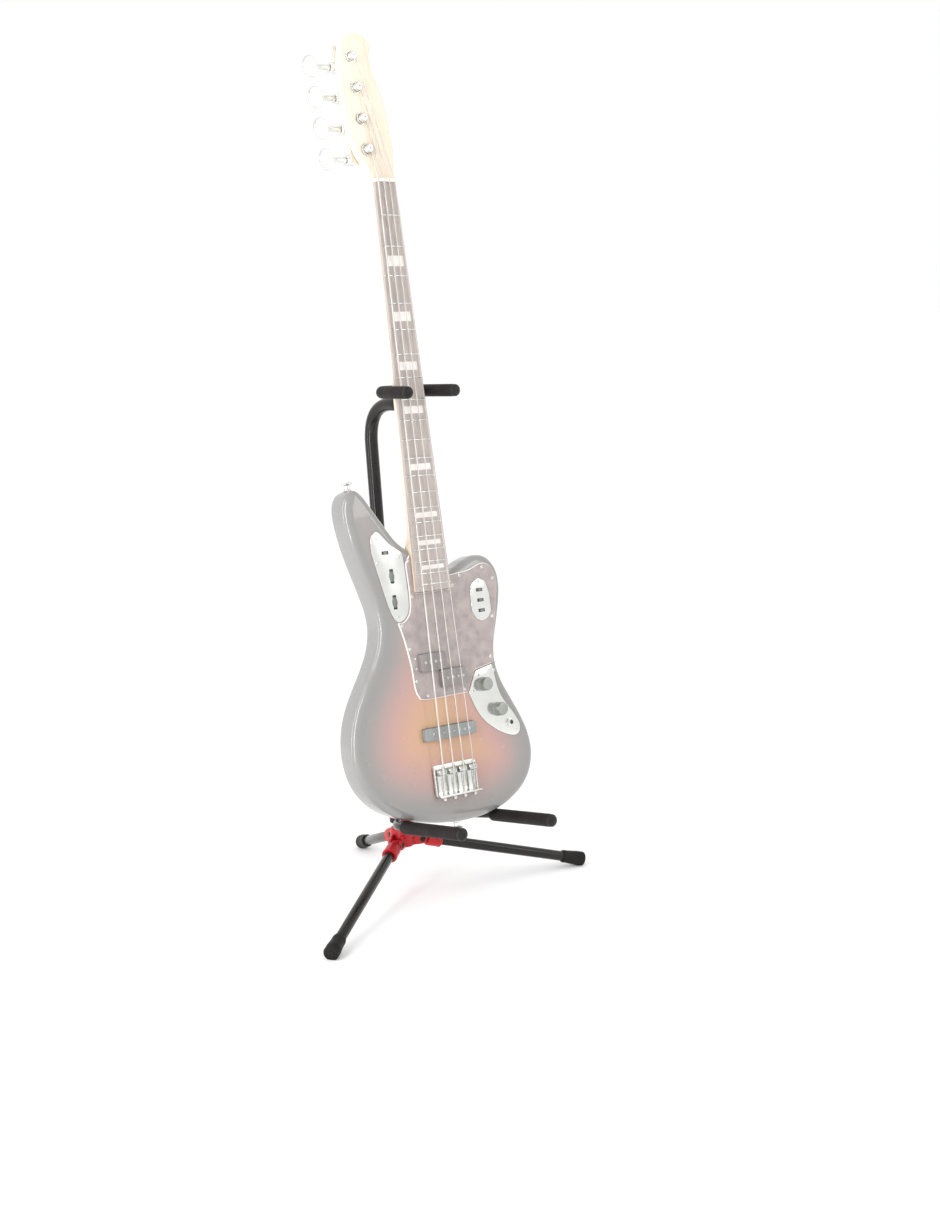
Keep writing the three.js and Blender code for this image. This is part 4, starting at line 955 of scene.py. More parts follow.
def screw_tree() -> Tree:
    """Makes the tree of domed cross-head screws: one at each place, axis along Z."""
    maker = TreeMaker("screws", {"Head Radius": 2.6, "Head Height": 1.4, "Slot Width": 0.7})
    radius, height, width = (maker.size(label) for label in ("Head Radius", "Head Height", "Slot Width"))
    ball = maker.out("GeometryNodeMeshUVSphere", {"Segments": 20, "Rings": 12, "Radius": 1.0})
    stretch = maker.out("ShaderNodeCombineXYZ", {0: radius, 1: radius, 2: height})
    squat = maker.out("GeometryNodeTransform", {0: ball, "Scale": stretch})
    slot_long = maker.out("ShaderNodeMath", {0: radius, 1: 1.15}, operation="MULTIPLY")
    lift = maker.out("ShaderNodeCombineXYZ", {2: height})
    head = add_node(maker.tree, "GeometryNodeMeshBoolean", {0: squat}, operation="DIFFERENCE",
                    solver="FLOAT")
    for x, y in ((slot_long, width), (width, slot_long)):
        bar = maker.out("GeometryNodeMeshCube",
                        {"Size": maker.out("ShaderNodeCombineXYZ", {0: x, 1: y, 2: height})})
        slot = maker.out("GeometryNodeTransform", {0: bar, "Translation": lift})
        maker.tree.links.new(slot, head.inputs[1])
    return maker.close(maker.copies(maker.given.outputs[0], head.outputs[0]), Look.CHROME)


def fret_tree() -> Tree:
    """Makes the tree of fret wires: spaced by the scale's rule and widening with the neck."""
    maker = TreeMaker("frets", {
        "Fret Count": 20, "Scale Length": 864.0, "Nut Width": 38.1, "Taper": 0.042, "Wire Width": 2.4,
        "Crown Height": 1.0, "Board Top": 11.0, "Board Radius": 241.0})
    size, out = maker.size, maker.out
    line = out("GeometryNodeMeshLine", {"Count": size("Fret Count")})
    number = out("ShaderNodeMath", {0: out("GeometryNodeInputIndex", {}), 1: 1.0}, operation="ADD")
    octaves = out("ShaderNodeMath", {0: number, 1: -12.0}, operation="DIVIDE")
    share = out("ShaderNodeMath", {0: 2.0, 1: octaves}, operation="POWER")
    along = out("ShaderNodeMath", {0: size("Scale Length"), 1: share}, operation="MULTIPLY")
    placed = out("GeometryNodeSetPosition", {0: line, "Position": out("ShaderNodeCombineXYZ", {1: along})})
    from_nut = out("ShaderNodeMath", {0: size("Scale Length"), 1: along}, operation="SUBTRACT")
    width = out("ShaderNodeMath", {0: from_nut, 1: size("Taper"), 2: size("Nut Width")},
                operation="MULTIPLY_ADD")
    wire = out("GeometryNodeMeshCylinder",
               {"Vertices": 18, "Side Segments": 14, "Radius": 1.0, "Depth": 1.0})
    laid = out("GeometryNodeTransform", {0: wire, "Rotation": (0.0, math.pi / 2, 0.0)})
    half_wire = out("ShaderNodeMath", {0: size("Wire Width"), 1: 0.5}, operation="MULTIPLY")
    section = out("ShaderNodeCombineXYZ", {0: 1.0, 1: half_wire, 2: size("Crown Height")})
    shaped = out("GeometryNodeTransform", {0: laid, "Scale": section})
    spread = out("ShaderNodeCombineXYZ", {0: width, 1: 1.0, 2: 1.0})
    wires = out("GeometryNodeInstanceOnPoints", {"Points": placed, "Instance": shaped, "Scale": spread})
    real = out("GeometryNodeRealizeInstances", {0: wires})
    across = out("ShaderNodeSeparateXYZ", {0: out("GeometryNodeInputPosition", {})})
    squared = out("ShaderNodeMath", {0: across, 1: across}, operation="MULTIPLY")
    twice_radius = out("ShaderNodeMath", {0: size("Board Radius"), 1: -2.0}, operation="MULTIPLY")
    fall = out("ShaderNodeMath", {0: squared, 1: twice_radius}, operation="DIVIDE")
    lift = out("ShaderNodeMath", {0: size("Board Top"), 1: fall}, operation="ADD")
    bent = out("GeometryNodeSetPosition", {0: real, "Offset": out("ShaderNodeCombineXYZ", {2: lift})})
    return maker.close(bent, Look.SPRING_STEEL)


def rib_tree() -> Tree:
    """Makes the tree of ribs round a rim: upright bars spaced round Z at every place."""
    maker = TreeMaker("ribs", {"Rib Count": 36, "Rim Radius": 10.3, "Rib Width": 0.7, "Rib Height": 11.0})
    rim = maker.out("GeometryNodeMeshCircle", {
        "Vertices": maker.size("Rib Count"), "Radius": maker.size("Rim Radius")})
    half = maker.out("ShaderNodeMath", {0: maker.size("Rib Width"), 1: 0.5}, operation="MULTIPLY")
    rib = maker.out("GeometryNodeMeshCylinder",
                    {"Vertices": 8, "Radius": half, "Depth": maker.size("Rib Height")})
    bars = maker.copies(rim, rib)
    return maker.close(maker.copies(maker.given.outputs[0], bars), Look.KNOB_METAL)


def pole_tree() -> Tree:
    """Makes the tree of pickup pole pieces: a short rod at each place."""
    maker = TreeMaker("pole_pieces", {"Pole Radius": 2.4, "Pole Rise": 1.0})
    rod = maker.out("GeometryNodeMeshCylinder", {
        "Vertices": 24, "Radius": maker.size("Pole Radius"), "Depth": maker.size("Pole Rise")})
    return maker.close(maker.copies(maker.given.outputs[0], rod), Look.POLE_STEEL)


def spring_tree() -> Tree:
    """Makes the tree of coil springs: one at each place, along Y."""
    maker = TreeMaker("springs", {
        "Coil Radius": 2.1, "Wire Radius": 0.35, "Coil Length": 24.0, "Turns": 14.0})
    coil = maker.out("GeometryNodeCurveSpiral", {
        "Resolution": 18, "Rotations": maker.size("Turns"), "Start Radius": maker.size("Coil Radius"),
        "End Radius": maker.size("Coil Radius"), "Height": maker.size("Coil Length")})
    wire = maker.out("GeometryNodeCurvePrimitiveCircle",
                     {"Resolution": 7, "Radius": maker.size("Wire Radius")})
    skin = maker.out("GeometryNodeCurveToMesh", {0: coil, 1: wire, "Fill Caps": True})
    laid = maker.out("GeometryNodeTransform", {0: skin, "Rotation": (math.pi / 2, 0.0, 0.0)})
    return maker.close(maker.copies(maker.given.outputs[0], laid), Look.SPRING_STEEL)


@dataclass
class Trees:
    """The Geometry Nodes trees that the repeats share."""

    screws: Tree = field(default_factory=screw_tree)
    frets: Tree = field(default_factory=fret_tree)
    ribs: Tree = field(default_factory=rib_tree)
    poles: Tree = field(default_factory=pole_tree)
    springs: Tree = field(default_factory=spring_tree)


# ---------- layout
@dataclass(frozen=True)
class Layout:
    """Where the stand, its post and the instrument are, in millimetres and degrees."""

    stand_x: float = -18.586
    stand_y: float = 16.839
    hub_height: float = 87.0
    post_lean: float = 6.8
    guitar_y: float = -108.361
    guitar_z: float = 222.951
    guitar_lean: float = GUITAR_LEAN
    strings: tuple[float, ...] = (-28.5, -9.5, 9.5, 28.5)
    split_pickups: tuple[Point, ...] = ((-17.5, 158.5), (17.5, 131.5))
    upper_switch: Point = (-76, 325)
    horn_switches: tuple[Point, ...] = ((87, 254), (87, 238.5), (87, 223))
    rollers: tuple[Point, ...] = ((-69, 290), (-69, 252))
    tuner_posts: tuple[Point, ...] = ((-24, 912), (-27, 957), (-30, 1002), (-33, 1047))

    @property
    def stand(self) -> Matrix:
        """The stand's frame: its axis on the floor."""
        return at(self.stand_x, self.stand_y, 0.0)

    @property
    def post(self) -> Matrix:
        """The post's frame: Z up the post from the hub's centre."""
        lean = Matrix.Rotation(-math.radians(self.post_lean), 4, "X")
        return self.stand @ at(0, 0, self.hub_height) @ lean

    @property
    def guitar(self) -> Matrix:
        """The instrument's frame: Y up the neck from the saddles, Z out of the face."""
        turn = Matrix.Rotation(math.pi / 2 - math.radians(self.guitar_lean), 4, "X")
        return at(self.stand_x, self.guitar_y, self.guitar_z) @ turn


TO_X = Matrix.Rotation(math.pi / 2, 4, "Y")
TO_Y = Matrix.Rotation(-math.pi / 2, 4, "X")
TO_MINUS_Y = Matrix.Rotation(math.pi / 2, 4, "X")


@dataclass
class Part:
    """What every sub-assembly needs: where things are, who makes them, and the repeats."""

    layout: Layout
    shop: Workshop
    trees: Trees

    def fit(self, name: str, shape: Shape, slot: str, looks: list[Look], *nodes: str,
            angle: float = 32.0) -> None:
        """Makes a piece in the instrument's frame and on its body, in place of the nodes."""
        self.shop.make(name, shape, self.layout.guitar, "guitar", slot, looks, *nodes, angle=angle)

    def repeat(self, name: str, places: list[tuple], tree: Tree, inputs: dict, slot: str,
               look: Look) -> None:
        """Grows a repeat at places on the instrument; the arguments are those of grow."""
        spots = [Vector(place) for place in places]
        self.shop.grow(name, spots, tree, inputs, self.layout.guitar, "guitar", slot, look)


# ---------- stand
@dataclass
class Tripod(Part):
    """The red hub with its three folding legs."""

    hub_radius: float = 18.5
    half_height: float = 15.0
    pin_offset: float = 30.0
    pin_drop: float = 6.0
    ear_radius: float = 8.0
    ear_inner: float = 6.0
    ear_outer: float = 11.0
    tongue: float = 11.2
    socket_radius: float = 11.5
    socket_start: float = 10.0
    socket_end: float = 34.0
    leg_radius: float = 8.0
    foot_radius: float = 11.5
    foot_neck: float = 9.6
    foot_length: float = 40.0
    foot_socket: float = 32.0
    foot_centre: float = 11.0
    legs: tuple[tuple[str, float, float], ...] = (
        ("front_left", -145.0, 314.0), ("front_right", -15.0, 306.0), ("rear", 70.0, 227.0))

    def build(self) -> None:
        """Makes the hub and the legs."""
        self.hub()
        for name, azimuth, reach in self.legs:
            self.leg(name, azimuth, reach)

    def tab(self, x0: float, x1: float, z: float, radius: float, low: float, high: float,
            edge: float) -> Shape:
        """Makes an upright lug with a round end, between two planes across Y."""
        outline = [(x0, z - radius)]
        outline += [(x1 + radius * math.cos(a), z + radius * math.sin(a))
                    for a in np.linspace(-math.pi / 2, math.pi / 2, 17)]
        outline.append((x0, z + radius))
        return plate(outline, low, high, edge, both=True).moved(TO_MINUS_Y)

    def hub(self) -> None:
        """Makes the moulded hub with its ears, and the hinge pins."""
        h, r = self.half_height, self.hub_radius
        core = lathe([(0, -h), (r - 3, -h), (r - 1.2, -h + 0.6), (r, -h + 2.4), (r, h - 4.5),
                      (r - 0.7, h - 2.2), (r - 2.4, h - 0.6), (r - 4, h), (14.6, h), (14.6, h + 1.6),
                      (14.0, h + 2.2), (0, h + 2.2)], 64)
        pins = Shape()
        for _, azimuth, _ in self.legs:
            turn = Matrix.Rotation(math.radians(azimuth), 4, "Z")
            for low, high in ((-self.ear_outer, -self.ear_inner), (self.ear_inner, self.ear_outer)):
                ear = self.tab(self.hub_radius - 9, self.pin_offset, -self.pin_drop, self.ear_radius, low,
                               high, 1.1)
                core.join(ear.moved(turn))
                rib = soft_box(self.hub_radius - 6, self.pin_offset - 2, low + 1, high - 1, 1.0, 6.0, 1.0)
                core.join(rib.moved(turn))
            place = turn @ at(self.pin_offset, 0, -self.pin_drop) @ TO_Y
            for side in (0.0, math.pi):
                head = lathe([(0, self.ear_outer - 2), (4.6, self.ear_outer - 2),
                              (4.6, self.ear_outer + 0.7), (3.6, self.ear_outer + 1.4),
                              (2.0, self.ear_outer + 1.5), (1.7, self.ear_outer + 0.8),
                              (0, self.ear_outer + 0.7)], 28)
                pins.join(head.moved(place @ Matrix.Rotation(side, 4, "X")))
            pins.join(soft_rod(3.0, -self.ear_outer, self.ear_outer, 0.3, 24).moved(place))
        place = self.layout.stand @ at(0, 0, self.layout.hub_height)
        self.shop.make("hub_moulding", core, place, "stand", "hub_red", [Look.RED_NYLON], "hub")
        self.shop.make("hinge_pins", pins, place, "stand", "steel", [Look.DARK_TAB])

    def leg(self, name: str, azimuth: float, reach: float) -> None:
        """Makes one leg: its moulded socket, the tube and the rubber foot, trimmed level with the floor.

        Args:
            name: The leg's name.
            azimuth: Which way it points, in degrees from X.
            reach: How far the foot's centre is from the hub's axis.
        """
        run, drop = reach - self.pin_offset, self.layout.hub_height - self.pin_drop - self.foot_centre
        slope, length = math.atan2(drop, run), math.hypot(run, drop)
        place = (self.layout.stand @ at(0, 0, self.layout.hub_height)
                 @ Matrix.Rotation(math.radians(azimuth), 4, "Z") @ at(self.pin_offset, 0, -self.pin_drop)
                 @ Matrix.Rotation(slope, 4, "Y"))
        body = f"leg_{name}_assembly"
        a, b, r = self.socket_start, self.socket_end, self.socket_radius
        socket = self.tab(-0.2, a + 3, 0.0, 7.0, -self.tongue / 2, self.tongue / 2, 0.9)
        eye = soft_rod(7.0, -self.tongue / 2, self.tongue / 2, 0.8, 40).moved(TO_Y)
        sleeve = lathe([(0, a), (r - 2.6, a), (r - 0.8, a + 0.8), (r, a + 2.6), (r, b - 3.4),
                        (r + 0.4, b - 3.0), (r + 0.4, b - 0.8), (r - 0.2, b), (8.2, b), (8.2, a + 4),
                        (0, a + 4)], 48).moved(TO_X)
        rivet = lathe([(0, 0), (2.6, 0), (2.6, 0.5), (1.9, 1.1), (0, 1.3)], 20)
        rivet_place = at((a + b) / 2 + 3, 0, 0) @ TO_MINUS_Y @ at(0, 0, r - 0.3)
        socket.join(eye, sleeve, rivet.moved(rivet_place))
        self.shop.make(f"socket_{name}", socket, place, body, "hub_red", [Look.RED_NYLON],
                       f"leg_socket_{name}")
        tube = soft_rod(self.leg_radius, a + 4.5, length - 0.4, 0.5, 48).moved(TO_X)
        self.shop.make(f"leg_tube_{name}", tube, place, body, "black_tube", [Look.POWDER_COAT],
                       f"leg_{name}")
        end = length + self.foot_length - self.foot_socket - 0.6
        start = end - self.foot_length + 0.6
        outer, neck = self.foot_radius, self.foot_neck
        profile = [(8.2, start), (neck - 0.6, start), (neck, start + 0.6), (neck + 0.1, start + 3),
                   (neck + 0.6, start + 3.6), (neck + 0.7, start + 5.4), (neck + 0.3, start + 6.2),
                   (outer - 0.3, end - 15), (outer, end - 13.6)]
        for k in range(3):
            groove = end - 12 + 3 * k
            profile += [(outer, groove), (outer - 0.5, groove + 0.3), (outer - 0.5, groove + 0.9),
                        (outer, groove + 1.2)]
        profile += [(outer, end - 2.6), (outer - 0.7, end - 0.8), (outer - 2.4, end), (outer - 4.4, end),
                    (outer - 4.9, end - 0.7), (outer - 6.2, end - 0.7), (outer - 6.7, end), (0, end),
                    (0, length), (8.2, length), (8.2, start)]
        cap = lathe(profile, 56).moved(place @ TO_X)
        cap.points = [(x, y, max(z, 0.0)) for x, y, z in cap.points]
        self.shop.make(f"foot_cap_{name}", cap, Matrix.Identity(4), body, "black_rubber", [Look.RUBBER],
                       f"foot_{name}")


@dataclass
class Mast(Part):
    """The lower post with its clamp, the telescoping upper post and the clamp knob."""

    lower_radius: float = 12.5
    seat: float = 11.0
    top: float = 319.0
    clamp_radius: float = 17.5
    clamp_height: float = 30.0
    bore: float = 10.4
    boss_radius: float = 9.0
    boss_length: float = 29.0
    upper_radius: float = 10.0
    upper_start: float = 120.0
    bend: float = 66.0
    bend_height: float = 749.5
    end_y: float = -1.57
    knob_radius: float = 17.0
    knob_length: float = 16.0
    lobes: int = 5

    def build(self) -> None:
        """Makes the posts, the clamp and its knob."""
        base, top, bore = self.top - self.clamp_height, self.top, self.bore
        tube = lathe([(bore, -self.seat), (self.lower_radius - 0.4, -self.seat),
                      (self.lower_radius, -self.seat + 0.4), (self.lower_radius, base + 4), (bore, base + 4),
                      (bore, -self.seat)], 56)
        self.shop.make("lower_post_tube", tube, self.layout.post, "stand", "black_tube", [Look.POWDER_COAT],
                       "lower_post")
        r = self.clamp_radius
        collar = lathe([(12.6, base), (r - 2.4, base), (r - 0.6, base + 1), (r, base + 3), (r, base + 9),
                        (r - 0.6, base + 9.5), (r - 0.6, base + 11), (r, base + 11.5), (r, top - 4),
                        (r - 0.5, top - 1.6), (r - 2.2, top), (bore + 0.8, top), (bore, top - 0.8),
                        (bore, base), (12.6, base)], 64)
        middle = top - self.clamp_height / 2
        boss = lathe([(0, 4), (self.boss_radius, 4), (self.boss_radius, self.boss_length - 1.5),
                      (self.boss_radius - 1.5, self.boss_length), (0, self.boss_length)], 40)
        fin = soft_box(10, self.boss_length - 4, -3, 3, middle - 14, middle - 6, 1.2)
        collar.join(boss.moved(at(0, 0, middle) @ TO_X), fin)
        self.shop.make("clamp_collar", collar, self.layout.post, "stand", "black_rubber", [Look.DARK_TAB])
        self.upper()
        self.knob(middle)

    def upper(self) -> None:
        """Makes the upper post: a straight tube bent forward at its top."""
        lean, hub = math.radians(self.layout.post_lean), Vector((0, 0, self.layout.hub_height))
        axis = Vector((0, math.sin(lean), math.cos(lean)))
        corner = hub + axis * ((self.bend_height - hub.z) / axis.z)
        end = Vector((0, self.end_y, self.bend_height))
        path = rounded_path([hub + axis * self.upper_start, corner, end], self.bend, 24)
        path = [path[0] + axis * t for t in (0.0, 0.4)] + path[1:-1]
        radii = [self.upper_radius - 0.4] + [self.upper_radius] * (len(path) - 1)
        for back, radius in ((1.6, 10.0), (0.9, 9.7), (0.3, 9.0), (0.0, 8.0)):
            path.append(end + Vector((0, back, 0)))
            radii.append(radius)
        self.shop.make("upper_post_tube", sweep(path, radii, 56), self.layout.stand, "mast", "black_tube",
                       [Look.POWDER_COAT], "upper_post")

    def knob(self, middle: float) -> None:
        """Makes the lobed clamp knob on its bolt."""
        outline = []
        for i in range(self.lobes * 20):
            a = 2 * math.pi * i / (self.lobes * 20)
            r = self.knob_radius - 2.2 + 2.2 * math.cos(self.lobes * a)
            outline.append((r * math.cos(a), r * math.sin(a)))
        start = self.boss_length + 0.4
        grip = plate(outline, start, start + self.knob_length, 2.4, steps=5, both=True)
        cap = lathe([(0, start + self.knob_length - 1), (7.5, start + self.knob_length - 1),
                     (7.0, start + self.knob_length + 0.5), (4.0, start + self.knob_length + 1.2),
                     (0, start + self.knob_length + 1.4)], 32)
        bolt = soft_rod(4.0, self.bore, start + 1, 0.4, 24)
        self.shop.make("clamp_knob_grip", grip.join(cap, bolt), self.layout.post @ at(0, 0, middle) @ TO_X,
                       "clamp_knob", "black_rubber", [Look.RUBBER], "clamp_knob")


def sleeve(path: list[Vector], radius: float) -> Shape:
    """Makes a foam sleeve along a path, with softly rounded ends.

    Args:
        path: The middle of the rod that it is on.
        radius: The foam's outer radius.

    Returns:
        The sleeve.
    """
    first, last = (path[1] - path[0]).normalized(), (path[-2] - path[-1]).normalized()
    steps = ((0.0, 1.6), (0.25, 0.8), (0.8, 0.25), (1.7, 0.0))
    points = [path[0] + first * d for d, _ in steps] + path[1:-1]
    points += [path[-1] + last * d for d, _ in reversed(steps)]
    radii = [radius - c for _, c in steps] + [radius] * (len(path) - 2)
    radii += [radius - c for _, c in reversed(steps)]
    return sweep(points, radii, 40)


@dataclass
class Cradle(Part):
    """The lower rest: one bent rod on a collar, with foam on its two arms."""

    slope: float = 9.1
    half_width: float = 84.0
    reach: float = 258.0
    arm: float = 163.0
    end_height: float = 160.0
    rod: float = 6.0
    pad: float = 9.7
    corner: float = 22.0
    apex_half: float = 16.0
    apex: float = 16.5
    plug: float = 7.0
    collar: float = 17.5
    collar_height: float = 26.0

    def __post_init__(self) -> None:
        """Reads how far the cradle is rocked from the two pads' heights."""
        left, right = (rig.box(f"cradle_pad_{side}")[1].z / MM for side in ("left", "right"))
        self.roll = math.asin((left - right) / (2 * self.half_width))
        tilt = math.radians(self.slope)
        self.forward = Vector((0, -math.cos(tilt), math.sin(tilt)))
        self.arm_end = self.reach / math.cos(tilt)

    def point(self, x: float, reach: float) -> Vector:
        """Gives the point this far to the side and this far along the arms."""
        side = Vector((math.cos(self.roll), 0, -math.sin(self.roll)))
        return Vector((0, -self.reach, self.end_height)) + side * x + self.forward * (reach - self.arm_end)

    def build(self) -> None:
        """Makes the rod, the collar, the plugs and the sleeves."""
        w, plug_start, elbow = self.half_width, self.arm_end - self.plug, self.arm_end - self.arm
        corners = [(-w, plug_start + 1), (-w, elbow), (-self.apex_half, self.apex),
                   (self.apex_half, self.apex), (w, elbow), (w, plug_start + 1)]
        rod = sweep(rounded_path([self.point(x, y) for x, y in corners], self.corner, 18), self.rod, 32)
        height = self.point(0, self.apex).z
        along = (height - self.layout.hub_height) / math.cos(math.radians(self.layout.post_lean))
        low, high, r = along - self.collar_height / 2, along + self.collar_height / 2, self.collar
        ring = lathe([(12.6, low), (r - 1.6, low), (r, low + 1.6), (r, low + 7), (r - 0.5, low + 7.5),
                      (r - 0.5, high - 7.5), (r, high - 7), (r, high - 1.6), (r - 1.6, high), (12.6, high),
                      (12.6, low)], 64)
        self.shop.make("cradle_rod", rod, self.layout.stand, "stand", "black_tube", [Look.POWDER_COAT],
                       "cradle_frame")
        self.shop.make("cradle_collar", ring, self.layout.post, "stand", "black_tube", [Look.DARK_TAB])
        for side, name in ((-1, "left"), (1, "right")):
            start, end = elbow + self.corner, plug_start - 0.3
            path = [self.point(side * w, start + (end - start) * t) for t in np.linspace(0, 1, 9)]
            pad = self.shop.make(f"cradle_sleeve_{name}", sleeve(path, self.pad), self.layout.stand, "stand",
                                 "foam", [Look.FOAM], f"cradle_pad_{name}")
            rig.padded(pad, fill=1.0)
            place = self.layout.stand @ aimed(self.point(side * w, plug_start), self.forward)
            self.shop.make(f"cradle_plug_{name}", dome(self.pad - 0.3, self.plug - 0.1), place, "stand",
                           "black_rubber", [Look.DARK_TAB])


@dataclass
class Yoke(Part):
    """The neck rest: a U of rod in one foam sleeve, on the upper post."""

    height: float = 769.0
    y: float = 3.03
    slope: float = 3.0
    half_width: float = 43.2
    back_half_width: float = 37.0
    arm: float = 86.0
    rod: float = 5.5
    pad: float = 9.2
    corner: float = 20.0
    plug: float = 7.0
    stem: float = 4.0

    def build(self) -> None:
        """Makes the rod with its stem, the sleeve and the plugs."""
        tilt = math.radians(self.slope)
        forward = Vector((0, -math.cos(tilt), math.sin(tilt)))
        plug_start = self.arm - self.plug

        def spot(side: int, reach: float) -> Vector:
            """Gives the point this far along an arm."""
            half = self.back_half_width + (self.half_width - self.back_half_width) * reach / plug_start
            return Vector((side * half, self.y, self.height)) + forward * reach

        def path(end: float) -> list[Vector]:
            """Gives the U's middle line, with arms of a length."""
            return rounded_path([spot(-1, end), spot(-1, 0), spot(1, 0), spot(1, end)], self.corner, 18)

        rod = sweep(path(plug_start + 1), self.rod, 32)
        stem = lathe([(0, -self.pad - 2.0), (8.4, -self.pad - 2.0), (8.4, -self.pad + 1.2),
                      (self.stem, -self.pad + 2.6), (self.stem, 0), (0, 0)], 32)
        rod.join(stem.moved(at(0, self.y, self.height)))
        self.shop.make("yoke_rod", rod, self.layout.stand, "mast", "black_tube", [Look.POWDER_COAT],
                       "yoke_frame")
        pad = self.shop.make("yoke_sleeve", sleeve(path(plug_start - 0.3), self.pad), self.layout.stand,
                             "mast", "foam", [Look.FOAM], "yoke_pad")
        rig.padded(pad, fill=1.0)
        for side, name in ((-1, "left"), (1, "right")):
            tip = spot(side, plug_start)
            place = self.layout.stand @ aimed(tip, (tip - spot(side, 0)).normalized())
            self.shop.make(f"yoke_plug_{name}", dome(self.pad - 0.3, self.plug), place, "mast",
                           "black_rubber", [Look.DARK_TAB])


# ---------- instrument
def flowing(points: list[Point], corners: set[int], radius: float, per_span: int = 8) -> list[Point]:
    """Draws a closed outline that flows smoothly between its corners, which are slightly rounded.

    Args:
        points: The outline's points.
        corners: The numbers of the points that are corners.
        radius: How far a corner's rounding reaches.
        per_span: Points between two given ones.

    Returns:
        The outline.
    """
    if not corners:
        return smooth_outline(points, per_span)
    order = sorted(corners)
    runs = []
    for here, there in zip(order, order[1:] + [order[0] + len(points)]):
        span = [Vector(points[i % len(points)]) for i in range(here, there + 1)]
        run = [span[0]]
        if len(span) > 2:
            ends = [span[0] * 2 - span[1]] + span + [span[-1] * 2 - span[-2]]
            for i in range(1, len(ends) - 2):
                p0, p1, p2, p3 = ends[i - 1:i + 3]
                for k in range(1, per_span + 1):
                    t = k / per_span
                    run.append(0.5 * ((2 * p1) + (p2 - p0) * t + (2 * p0 - 5 * p1 + 4 * p2 - p3) * t ** 2
                                      + (3 * p1 - p0 - 3 * p2 + p3) * t ** 3))
        else:
            run += [span[0].lerp(span[1], k / 4) for k in range(1, 5)]
        runs.append(run)
    made = []
    for i, run in enumerate(runs):
        start, end = run[0], run[-1]
        kept = [p for p in run if (p - start).length > radius and (p - end).length > radius]
        near = [next(p for p in side if (p - start).length > radius * 0.9)
                for side in (runs[i - 1][::-1], run)]
        back, ahead = (start + (p - start).normalized() * radius for p in near)
        made += bend(back, start, ahead, 5) + kept
    return [(p.x, p.y) for p in made]


def edge_distance(points: np.ndarray, outline: np.ndarray) -> np.ndarray:
    """Gives the distance of each point to a closed outline.

    Args:
        points: One point a row.
        outline: One corner a row.

    Returns:
        The distances.
    """
    best = np.full(len(points), 1e9)
    for a, b in zip(outline, np.roll(outline, -1, axis=0)):
        along = b - a
        share = np.clip(((points - a) @ along) / max(1e-9, along @ along), 0, 1)
        best = np.minimum(best, np.linalg.norm(points - (a + share[:, None] * along), axis=1))
    return best


